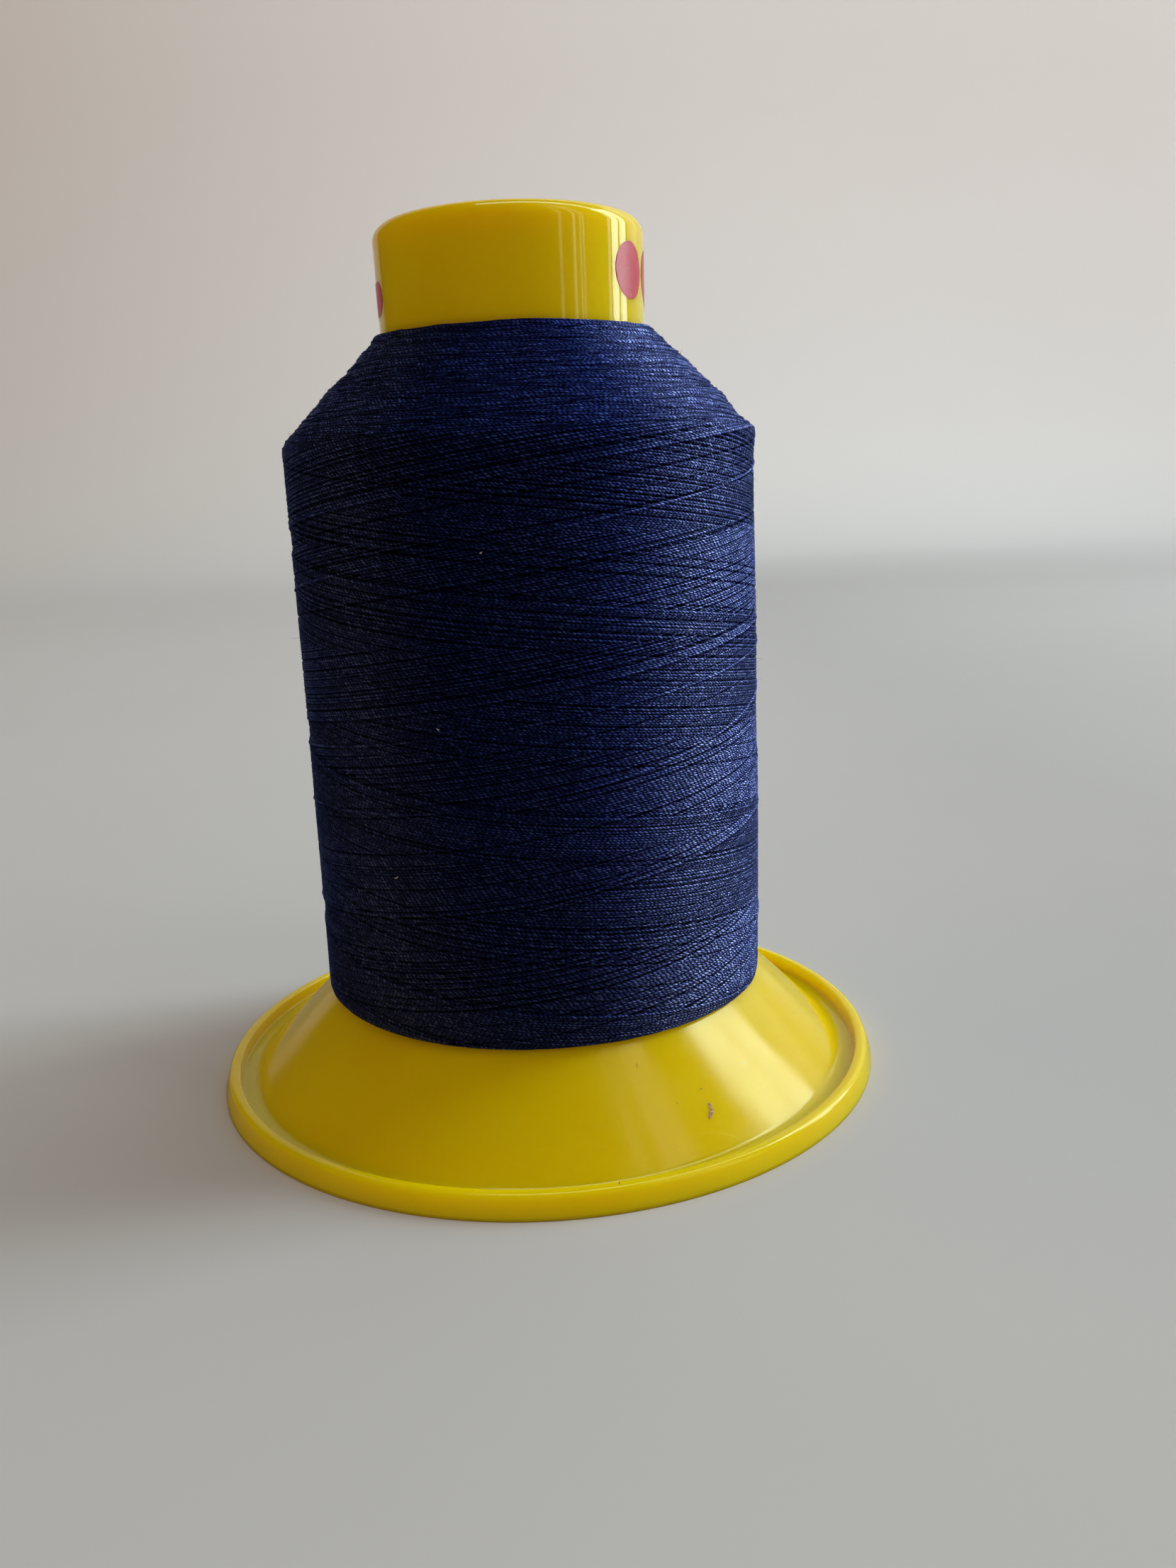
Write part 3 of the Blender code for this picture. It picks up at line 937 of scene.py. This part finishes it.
def painted_gap_and_step_shade(height, level):
    """Painted shade: 1 on the crowns of strands, 0 in the gaps and at the feet of the steps between
    layers.
    """
    near = blur(blur(height, 3.2, 0), 0.6, 1)
    wide = blur(blur(height, 9.0, 0), 1.2, 1)
    # painted shade in the hollows between strands, and more of it below higher ground nearby
    painted_shade_factor = smoothstep(np.clip((height - near + 0.060) / 0.075, 0, 1))
    painted_shade_factor = painted_shade_factor * (0.52 + 0.48 * np.clip((height - wide + 0.16) / 0.13, 0, 1))
    # painted shadow at the foot of each step where a newer band lies over an older one
    crest = level.copy()
    for k in range(1, 7):
        crest = np.maximum(crest, np.roll(level, k, 0) - 0.004 * k)
        crest = np.maximum(crest, np.roll(level, -k, 0) - 0.004 * k)
    side = (S_COLUMN > -0.9) & (S_COLUMN < CORNER_S + 0.9)
    step_foot_shadow = np.clip((crest - level - 0.022) / 0.045, 0, 1) * side
    return painted_shade_factor * (1 - 0.44 * step_foot_shadow)


def out_of_true(height):
    """Leans the package towards +X, bulges its corner there, and skews its foot end."""
    sine = np.sin(np.radians(np.arange(COLS) * COL_DEG)[None, :])
    east = np.clip(sine, 0, 1)
    corner = np.exp(-((S_COLUMN - CORNER_S) / 1.5) ** 2)
    height = (height + np.interp(S_COLUMN, *LEAN) * east + 0.15 * corner * east ** 2
              + np.interp(S_COLUMN, SWELL_S, SWELL_WEST) * (1 - sine) / 2
              + np.interp(S_COLUMN, SWELL_S, SWELL_EAST) * (1 + sine) / 2)
    height = height - 0.03 * (1 - END_FADE)
    skew = (-0.08 - 0.23 * sine - 0.12 * east ** 2) * np.clip(1 - S_COLUMN / 5.0, 0, 1)
    return height, skew


def closed(grid):
    """Repeats the first column at the end."""
    return np.concatenate([grid, grid[:, :1]], 1)


ANGLES = np.radians(np.arange(COLS + 1) * COL_DEG)
COL_X, COL_Y = np.sin(ANGLES), -np.cos(ANGLES)


def surface_points(height, skew):
    """Positions and normals of the outer skin."""
    along_r = blur(np.gradient(ROW_R, ROW_S), 3.0, 0)
    along_z = blur(np.gradient(ROW_Z, ROW_S), 3.0, 0)
    length = np.hypot(along_r, along_z)
    height = closed(height)
    r = ROW_R[:, None] + (along_z / length)[:, None] * height
    z = ROW_Z[:, None] + (-along_r / length)[:, None] * height + closed(skew)
    points = np.stack([r * COL_X, r * COL_Y, z], -1)
    wrapped = np.concatenate([points[:, -2:-1], points, points[:, 1:2]], 1)
    normals = np.cross(wrapped[:, 2:] - wrapped[:, :-2], np.gradient(points, axis=0))
    normals /= np.linalg.norm(normals, axis=-1, keepdims=True)
    return points, normals


# ---------------------------------------------------------------- winding: sector meshes
PER_SECTOR = COLS // SECTORS
WIDE = PER_SECTOR + 1               # vertices across a sector's outer skin
FACETS = 4                          # facets across its inner skin
FACET_COLS = PER_SECTOR // FACETS
GROUPS = ROWS // 16                 # inner strips, one per 16 rows
INNER_ROWS = np.minimum(np.arange(GROUPS + 1) * 16, ROWS - 1)
INNER_ROWS[-1] = ROWS - 1


def fan(edge, corner, next_corner, flip):
    """Triangles from a fine edge of the outer skin to one coarse step of the inner skin."""
    tris = np.stack([edge[:-1], edge[1:], np.full(len(edge) - 1, corner)], -1)
    tris = np.concatenate([tris, [[edge[-1], next_corner, corner]]])
    return tris[:, ::-1] if flip else tris


def sector_faces():
    i, j = np.arange(ROWS - 1)[:, None], np.arange(PER_SECTOR)[None, :]
    a = i * WIDE + j
    outer = np.stack([a, a + 1, a + WIDE + 1, a + WIDE], -1).reshape(-1, 4)
    base, inner_wide = ROWS * WIDE, FACETS + 1
    i, j = np.arange(GROUPS)[:, None], np.arange(FACETS)[None, :]
    b = base + i * inner_wide + j
    inner = np.stack([b, b + inner_wide, b + inner_wide + 1, b + 1], -1).reshape(-1, 4)
    tris = []
    for col, inner_col, flip in ((0, 0, False), (PER_SECTOR, FACETS, True)):
        for k in range(GROUPS):
            edge = np.arange(INNER_ROWS[k], INNER_ROWS[k + 1] + 1) * WIDE + col
            corner = base + k * inner_wide + inner_col
            tris.append(fan(edge, corner, corner + inner_wide, flip))
    for row, inner_row, flip in ((0, 0, True), (ROWS - 1, GROUPS, False)):
        for k in range(FACETS):
            edge = row * WIDE + np.arange(k * FACET_COLS, (k + 1) * FACET_COLS + 1)
            corner = base + inner_row * inner_wide + k
            tris.append(fan(edge, corner, corner + 1, flip))
    return np.concatenate([outer, inner]), np.concatenate(tris)


def sector_map():
    """Flat map: across it round the axis, up it along the profile, inner skin at the right."""
    parts = []
    for across, count in (((np.arange(WIDE) / PER_SECTOR) * 0.94, ROWS),
                          (0.95 + 0.01 * np.arange(FACETS + 1), GROUPS + 1)):
        upward = (np.arange(count) / (count - 1))[:, None]
        parts.append(np.stack([np.tile(across, (count, 1)), np.tile(upward, (1, len(across)))],
                              -1).reshape(-1, 2))
    return np.concatenate(parts).astype(np.float32)


def make_sector(number, points, normals, painted_shade_factor, strand, faces, flat_map, material):
    first = number * PER_SECTOR
    cols = np.arange(first, first + WIDE)
    inner_cols = first + np.arange(FACETS + 1) * FACET_COLS
    inner_r = np.minimum(14.5, ROW_R[INNER_ROWS] - 0.55)[:, None]
    # the inner skin stays above the foot's cone while the outer one runs along the underside
    inner_z = np.maximum(ROW_Z[INNER_ROWS], 20.3 + 0.03 * np.arange(GROUPS + 1))[:, None]
    inner = np.stack([inner_r * COL_X[inner_cols], inner_r * COL_Y[inner_cols],
                      inner_z + 0 * COL_X[inner_cols]], -1).reshape(-1, 3)
    coords = np.concatenate([points[:, cols].reshape(-1, 3), inner]) * MM
    mesh = mesh_from("winding_%02d" % (number + 1), coords, *faces)
    inward = -inner / np.linalg.norm(inner, axis=1, keepdims=True)
    vertex_normals = np.concatenate([normals[:, cols].reshape(-1, 3), inward])
    mesh.normals_split_custom_set_from_vertices(vertex_normals.tolist())
    # painted shade factor for the thread's colour: 1 on crowns, 0 in gaps
    attribute = mesh.attributes.new("painted_shade_factor", "FLOAT", "POINT")
    inner_ones = np.ones(len(inner), np.float32)
    attribute.data.foreach_set("value", np.concatenate([painted_shade_factor[:, cols].ravel(), inner_ones]))
    attribute = mesh.attributes.new("strand", "FLOAT_VECTOR", "POINT")
    inner_zeros = np.zeros((len(inner), 3), np.float32)
    values = np.concatenate([strand[:, cols].reshape(-1, 3), inner_zeros])
    attribute.data.foreach_set("vector", values.ravel())
    corners = np.zeros(len(mesh.loops), np.int32)
    mesh.loops.foreach_get("vertex_index", corners)
    layer = mesh.uv_layers.new(name="OFBake")
    layer.data.foreach_set("uv", flat_map[corners].ravel())
    register(new_object(mesh.name, mesh, material), "spool", "thread_package")


def make_winding(material):
    """Builds the winding; gives its points and normals."""
    strands = Strands()
    lay_base(strands)
    lay_shoulder(strands)
    side_start = len(strands.tones)
    lay_side(strands)
    side_end = len(strands.tones)
    lay_loose(strands)

    order, across = strands.order, strands.across
    level = layer_level(strands, side_end)
    body = random_field(160, 60, seed=8) * 0.030
    roundness = np.sqrt(np.clip(1 - across.astype(float) ** 2, 0, 1))
    relief = (roundness * STRAND_HALF - 0.10) * 1.35
    on_side = (order >= side_start) & (order < side_end)
    fresh = np.clip(1 - (side_end - order) / 5.0, 0, 1) * on_side * 0.035
    height = (level + body + relief + strands.lift + fresh) * END_FADE
    # painted shade in the gaps and at the feet of the steps between layers
    painted_shade_factor = closed(painted_gap_and_step_shade(height, level)).astype(np.float32)
    points, normals = surface_points(*out_of_true(height))

    order = closed(order)
    tones, shifts, radii = (np.array(values, np.float32)[order]
                            for values in (strands.tones, strands.shifts, strands.radii))
    along = ANGLES[None, :] * radii / PLY + shifts
    strand = np.stack([along, closed(across), tones], -1).astype(np.float32)
    faces, flat_map = sector_faces(), sector_map()
    for number in range(SECTORS):
        make_sector(number, points, normals, painted_shade_factor, strand, faces, flat_map, material)
    return points, normals


# ---------------------------------------------------------------- loose fibres
FIBRES, FIBRE_STEPS, FIBRE_R = 3200, 5, 0.013


def make_fibres(points, normals, material):
    """Loose fibre ends on the winding, as fine three-sided hairs."""
    rng = np.random.default_rng(99)
    rows, cols = points.shape[:2]
    t = np.linspace(0, 1, FIBRE_STEPS + 1)[:, None]
    thickness = FIBRE_R * (1 - 0.5 * t)
    coords, quads, tris = [], [], []
    for number in range(FIBRES):
        i, j = rng.integers(60, rows - 10), rng.integers(0, cols - 1)
        root, out = points[i, j], normals[i, j]
        out = out / np.linalg.norm(out)
        around = np.array([-root[1], root[0], 0.0])
        around /= np.linalg.norm(around)
        side = np.cross(out, around)
        length = 0.22 + 0.80 * rng.random() ** 2
        heading = (around * rng.choice([-1, 1]) * (0.5 + rng.random())
                   + side * rng.normal(0, 0.7) + out * (0.25 + 0.7 * rng.random()))
        heading /= np.linalg.norm(heading)
        bend = side * rng.normal(0, 0.5) + around * rng.normal(0, 0.5) - out * rng.random() * 0.7
        line = root - out * 0.02 + heading * length * t + bend * length * t * t * 0.7
        axis_a = np.cross(heading, out + 0.3 * side)
        axis_a /= np.linalg.norm(axis_a)
        axis_b = np.cross(heading, axis_a)
        corners = [line + thickness * (axis_a * math.cos(angle) + axis_b * math.sin(angle))
                   for angle in (0, 2.0944, 4.1888)]
        coords.append(np.stack(corners, 1).reshape(-1, 3))
        base = number * 3 * (FIBRE_STEPS + 1)
        for k in range(FIBRE_STEPS):
            start = base + k * 3
            for a, b in ((0, 1), (1, 2), (2, 0)):
                quads.append((start + a, start + b, start + 3 + b, start + 3 + a))
        tip = base + FIBRE_STEPS * 3
        tris += [(base + 2, base + 1, base), (tip, tip + 1, tip + 2)]
    mesh = mesh_from("loose_fibres", np.concatenate(coords) * MM, quads, tris)
    register(new_object("loose_fibres", mesh, material), "spool")


# ---------------------------------------------------------------- paper ring
RING_BORE, RING_THICK = 5.6, 0.2


def make_label(material):
    top = RING_Z + RING_THICK
    outline = rounded([(RING_BORE, RING_Z, 0.0, 0), (RING_R, RING_Z, 0.0, 0),
                       (RING_R, top, 0.06, 2), (RING_BORE, top, 0.06, 2)])
    # rings between the edges let the paper ripple
    dense = []
    for (r0, z0), (r1, z1) in zip(outline, outline[1:] + outline[:1]):
        dense.append((r0, z0))
        if abs(z0 - z1) < 1e-6 and abs(r0 - r1) > 1:
            dense += [(r0 + (r1 - r0) * t, z0) for t in np.linspace(0, 1, 12)[1:-1]]
    piece = turned("paper_ring", dense, material, segments=192)
    mesh = piece.data
    coords = np.zeros(len(mesh.vertices) * 3, np.float32)
    mesh.vertices.foreach_get("co", coords)
    coords = coords.reshape(-1, 3)
    angle = np.arctan2(coords[:, 1], coords[:, 0])
    r = np.hypot(coords[:, 0], coords[:, 1]) / MM
    # the outer part lifts in waves
    ripple = np.sin(3 * angle + 0.6) + 0.6 * np.sin(7 * angle + r) + 0.8
    wave = 0.035 * ripple * np.clip((r - 8.0) / 1.9, 0, 1)
    coords[:, 2] += (wave * MM).astype(np.float32) * (coords[:, 2] > 0)
    mesh.vertices.foreach_set("co", coords.ravel())
    mesh.update()
    register(piece, "spool", "nose_label")


# ---------------------------------------------------------------- specks and scrap
def make_speck(name, centre, normal, along, length, width, curl, material, body, slot):
    """A curved, tapered, closed sliver lying on a surface."""
    centre, normal, along = (np.array(value, float) for value in (centre, normal, along))
    normal /= np.linalg.norm(normal)
    along = along - normal * along.dot(normal)
    along /= np.linalg.norm(along)
    cross = np.cross(normal, along)
    steps, sides = 12, 8
    coords, quads, tris = [], [], []
    for i in range(steps + 1):
        t = i / steps
        taper = math.sin(math.pi * min(max(t, 0.03), 0.97)) ** 0.6
        half = width / 2 * taper * (1 + 0.25 * math.sin(9 * t))
        middle = (centre + along * (t - 0.5) * length + cross * curl * length * (t - 0.5) ** 2
                  + normal * (0.02 + 0.10 * length * (t - 0.5) ** 2))
        for j in range(sides):
            angle = 2 * math.pi * j / sides
            coords.append(middle + cross * half * math.cos(angle)
                          + normal * min(half, 0.03) * math.sin(angle))
    for i in range(steps):
        a, b = i * sides, (i + 1) * sides
        for j in range(sides):
            k = (j + 1) % sides
            quads.append((a + j, a + k, b + k, b + j))
    end = steps * sides
    for j in range(1, sides - 1):
        tris += [(0, j + 1, j), (end, end + j, end + j + 1)]
    mesh = mesh_from(name, np.array(coords) * MM, quads, tris, smooth_tris=True)
    turn_faces_out(mesh)
    register(new_object(name, mesh, material), body)


# outline of the scrap in mm: to the right and up the slope
SCRAP = [(-0.43, -0.70), (-0.20, -0.63), (0.10, -0.44), (0.35, -0.21), (0.43, 0.16),
         (0.48, 0.63), (0.35, 0.77), (0.20, 0.69), (0.15, 0.32), (0.03, 0.02),
         (-0.20, -0.21), (-0.33, -0.37), (-0.48, -0.58)]
SCRAP_BEARING, SCRAP_Z, SCRAP_THICK = 30.07, 4.0, 0.035


def make_scrap(material):
    """A flat torn scrap lying on the cone."""
    centre, normal = (np.array(value) for value in on_cone(SCRAP_BEARING, SCRAP_Z))
    angle = math.radians(SCRAP_BEARING)
    right = np.array((math.cos(angle), math.sin(angle), 0.0))
    upslope = np.cross(normal, right)
    coords = [centre + right * x + upslope * y + normal * (-0.01) for x, y in SCRAP]
    coords += [centre + right * x * 0.94 + upslope * y * 0.96
               + normal * (SCRAP_THICK + 0.05 * y * y) for x, y in SCRAP]
    coords.append(centre + right * 0.17 - upslope * 0.05 + normal * SCRAP_THICK * 0.7)
    n = len(SCRAP)
    walls = [(k, (k + 1) % n, n + (k + 1) % n, n + k) for k in range(n)]
    top = [(n + k, n + (k + 1) % n, 2 * n) for k in range(n)]
    bottom = [(0, k + 1, k) for k in range(1, n - 1)]
    mesh = mesh_from("scrap_on_cone", np.array(coords) * MM, walls, top + bottom,
                     smooth_quads=False)
    turn_faces_out(mesh)
    register(new_object("scrap_on_cone", mesh, material), "foot")


# dark specks on the cone: bearing, z, direction, length, width, curl
CONE_SPECKS = [(18.91, 8.32, (0.1, 0.0, 1.0), 0.5, 0.05, 0.8),
               (30.42, 5.59, (1.0, 0.5, 0.2), 0.45, 0.05, -0.6),
               (-47.4, 0.98, (0.5, 0.2, 1.0), 0.45, 0.07, 0.3),
               (24.2, 5.2, (0.6, 0.1, -1.0), 0.35, 0.04, 0.7)]
# pale lint on the winding: bearing, z, length
LINT_SPECKS = [(-34.7, 27.0, 0.5), (-21.0, 41.5, 0.3), (-9.0, 57.0, 0.28),
               (38.0, 49.0, 0.3), (152.0, 33.0, 0.45), (-120.0, 52.0, 0.35)]
LINT_R = 23.98            # just outside the winding's side
CREST_R = 34.75           # top of the foot's rim


def make_dirt():
    scrap = scrap_material()
    pale = lint_material("lint_pale", (0.75, 0.70, 0.62))
    dark = lint_material("lint_dark", (0.16, 0.10, 0.015))
    make_scrap(scrap)
    for k, (bearing, z, along, length, width, curl) in enumerate(CONE_SPECKS):
        make_speck("speck_%d" % (k + 1), *on_cone(bearing, z), along, length, width, curl,
                   dark, "foot", "foot_plastic")
    x, y = facing(9.0)
    make_speck("speck_crest", centre=(CREST_R * x, CREST_R * y, RIM_TOP), normal=(0, 0, 1),
               along=(0.15, 1.0, 0.0), length=0.42, width=0.10, curl=0.2,
               material=dark, body="foot", slot="foot_plastic")
    for k, (bearing, z, length) in enumerate(LINT_SPECKS):
        x, y = facing(bearing)
        make_speck("speck_lint_%d" % (k + 1), centre=(LINT_R * x, LINT_R * y, z),
                   normal=(x, y, 0), along=(-y, x, 0.5 * (-1) ** k), length=length, width=0.10,
                   curl=0.8, material=pale, body="spool", slot="navy_thread")


# ---------------------------------------------------------------- stage, in metres
def floor_material():
    mat = Surface("studio_floor")
    position = mat.source("NewGeometry", "Position")
    x, y, _ = mat.separate(position)
    value = mat.noise(position, scale=6.0, detail=4.0, roughness=0.6)
    floor = mat.mix(value, (0.57, 0.568, 0.56), (0.62, 0.618, 0.61))
    # painted shade: the floor is up to 17 % darker towards +X
    floor = mat.mix(mat.times(mat.ramp(x, low=0.0, high=0.12), 0.17), floor, BLACK)
    # painted light: the wall is lighter towards +X
    wall = mat.mix(mat.ramp(x, low=-0.6, high=0.75, smooth=False),
                   (0.69, 0.715, 0.72), (0.94, 0.965, 0.96))
    colour = mat.mix(mat.ramp(y, low=0.55, high=1.2), floor, wall)
    # reflections see a darker floor near the spool, most of all towards -X
    near = mat.times(mat.source("LightPath", "Is Glossy Ray"),
                     mat.minus(1.0, mat.ramp(y, low=0.4, high=0.9)))
    shade = mat.mix(mat.ramp(x, low=-0.12, high=0.08), (0.29, 0.30, 0.31), (0.5, 0.5, 0.5))
    colour = mat.mix(near, colour, mat.mix(1.0, colour, shade, blend="MULTIPLY"))
    mat.shade({"Base Color": colour, "Roughness": 0.75, "Specular IOR Level": 0.25})
    # one-sided, so that the underside of the foot can be seen through the floor
    one_side = mat.add("MixShader")
    mat.put_all(one_side, {0: mat.source("NewGeometry", "Backfacing"),
                           1: mat.bsdf.outputs[0],
                           2: mat.source("BsdfTransparent", 0)})
    mat.put(mat.tree.nodes["Material Output"].inputs["Surface"], one_side.outputs[0])
    return mat.material


# name, x from, x to
FLOORS = [("studio_floor", -1.15, 2.5), ("studio_floor_left", -7.0, -1.15),
          ("studio_floor_right", 2.5, 7.0)]


def make_stage():
    """A floor that sweeps up into a wall at +Y; the end strips are there for the camera only."""
    material = floor_material()
    sweep = [(-1.6, 0.0), (0.9, 0.0), *arc(0.9, 0.5, 0.5, np.linspace(-90, 0, 24)), (1.4, 2.4)]
    for name, x0, x1 in FLOORS:
        shell = bmesh.new()
        low, high = ([shell.verts.new((x, y, z)) for y, z in sweep] for x in (x0, x1))
        for k in range(len(sweep) - 1):
            shell.faces.new((low[k], high[k], high[k + 1], low[k + 1]))
        mesh = bpy.data.meshes.new(name)
        shell.to_mesh(mesh)
        shell.free()
        mesh.shade_smooth()
        piece = new_object(name, mesh, material)
        if name != "studio_floor":
            piece.visible_diffuse = piece.visible_glossy = False
            piece.visible_transmission = piece.visible_shadow = False


# ---------------------------------------------------------------- lights, in metres
DAY = (0.93, 1.03, 1.06)
WARM = (1.0, 0.66, 0.34)
STRIP = (1.0, 0.98, 0.95)
LIT_POINT = Vector((0, 0, 0.045))

# name, bearings from and to, elevations from and to, distance, radiance, colour
PANES = [
    ("window_edge", 91.0, 94.0, 3, 45, 1.0, 2.8, DAY),
    ("window_left", 95.2, 104.5, 3, 46, 1.0, 8.0, DAY),
    ("window_right", 106.0, 116.0, 3, 46, 1.0, 5.9, DAY),
    ("window_frame", 117.0, 140.0, 12, 46, 1.0, 0.55, DAY),
    ("far_strip_0", 42.0, 45.0, 4, 64, 1.1, 1.6, STRIP),
    ("far_strip_1", 54.5, 57.5, 4, 64, 1.1, 2.5, STRIP),
    ("far_strip_2", 61.0, 62.6, 4, 64, 1.1, 2.6, STRIP),
    ("far_strip_3", 64.0, 65.6, 4, 64, 1.1, 2.6, STRIP),
    ("side_fill", -125.0, -70.0, 5, 60, 1.4, 0.58, WARM),
]


def area_light(name, location, backward, width, height, energy, colour):
    """A rectangular light shining against the direction backward."""
    light = bpy.data.lights.new(name, "AREA")
    light.shape, light.size, light.size_y = "RECTANGLE", width, height
    light.energy, light.color = energy, colour
    lamp = bpy.data.objects.new(name, light)
    lamp.location = location
    lamp.rotation_mode = "QUATERNION"
    lamp.rotation_quaternion = backward.to_track_quat("Z", "Y")
    bpy.context.scene.collection.objects.link(lamp)
    return lamp


def pane(name, az0, az1, el0, el1, distance, radiance, colour):
    """A light that fills a range of bearings and elevations, seen from the spool."""
    azimuth, elevation = math.radians((az0 + az1) / 2), math.radians((el0 + el1) / 2)
    outward = Vector((math.sin(azimuth) * math.cos(elevation),
                      -math.cos(azimuth) * math.cos(elevation), math.sin(elevation)))
    width = 2 * distance * math.tan(math.radians(az1 - az0) / 2) * math.cos(elevation)
    height = 2 * distance * math.tan(math.radians(el1 - el0) / 2)
    return area_light(name, LIT_POINT + outward * distance, outward, width, height,
                      energy=radiance * math.pi * width * height, colour=colour)


def make_lights():
    for row in PANES:
        lamp = pane(*row)
        if lamp.name == "side_fill":
            lamp.visible_glossy = False
    wash_from, wash_to = Vector((0.9, 0.25, 1.9)), Vector((0.8, 1.4, 0.7))
    area_light("wall_wash", wash_from, wash_from - wash_to, width=2.6, height=0.7,
               energy=17.5, colour=(0.87, 1.04, 1.15))


def make_world():
    """The room: warm behind the camera, lighter towards +X, dim elsewhere."""
    world = bpy.data.worlds.new("studio")
    bpy.context.scene.world = world
    world.use_nodes = True
    graph = Graph(world.node_tree)
    x, y, z = graph.separate(graph.source("TexCoord", "Generated"))
    sides = graph.mix(graph.ramp(x, low=-0.3, high=0.3), (0.15, 0.10, 0.07), (0.60, 0.54, 0.48))
    upper = graph.mix(graph.ramp(z, low=0.35, high=0.8), sides, (0.04, 0.06, 0.05))
    to_camera = graph.add("Math", operation="MULTIPLY")
    graph.put_all(to_camera, {0: y, 1: -1.0})
    behind = graph.ramp(to_camera.outputs[0], low=0.45, high=0.95)
    room = graph.mix(behind, upper, (0.57, 0.285, 0.15))
    ray = graph.add("LightPath").outputs
    # reflections see a darker room than the soft light gives
    strength = graph.add("MapRange")
    graph.put_all(strength, {0: ray["Is Glossy Ray"], 3: 1.0, 4: 0.25})
    graph.put_all(graph.tree.nodes["Background"], {
        "Color": graph.mix(ray["Is Camera Ray"], room, (0.56, 0.55, 0.53)),
        "Strength": strength.outputs[0],
    })


# ---------------------------------------------------------------- camera
CAMERA_PLACE = (0.0, -0.13407, 0.06224)               # metres
YAW, PITCH_DOWN, ROLL = 0.04183, 0.23252, -0.04286    # radians
LENS = 28.8774684                                     # mm, on a 36 mm sensor


def make_camera():
    forward = Vector((math.sin(YAW) * math.cos(PITCH_DOWN), math.cos(YAW) * math.cos(PITCH_DOWN),
                      -math.sin(PITCH_DOWN)))
    right = Vector((math.cos(YAW), -math.sin(YAW), 0.0))
    up = right.cross(forward)
    rolled_right = right * math.cos(ROLL) + up * math.sin(ROLL)
    rolled_up = -right * math.sin(ROLL) + up * math.cos(ROLL)
    lens = bpy.data.cameras.new("camera")
    lens.sensor_fit = "AUTO"
    lens.sensor_width = 36.0
    lens.lens = LENS
    lens.clip_start = 0.01
    camera = bpy.data.objects.new("camera", lens)
    bpy.context.scene.collection.objects.link(camera)
    rotation = Matrix((rolled_right, rolled_up, -forward)).transposed()
    camera.matrix_world = Matrix.Translation(CAMERA_PLACE) @ rotation.to_4x4()
    bpy.context.scene.camera = camera


# ---------------------------------------------------------------- build
foot_plastic = plastic_material("foot_plastic", roughness=0.125, smear=0.11, marks=FOOT_MARKS)
barrel_plastic = plastic_material("barrel_plastic", roughness=0.06, smear=0.03)
navy_thread = thread_material()
make_foot(foot_plastic)
red_print = print_material()
make_barrel(barrel_plastic)
for entry in PRINTS:
    make_print(*entry, red_print)
winding_points, winding_normals = make_winding(navy_thread)
make_fibres(winding_points, winding_normals, lint_material("fibre_navy", (0.03, 0.04, 0.14)))
make_label(paper_material())
make_dirt()
make_stage()
make_lights()
make_world()
make_camera()

bpy.context.scene.view_settings.view_transform = "Standard"
bpy.context.scene.view_settings.look = "None"
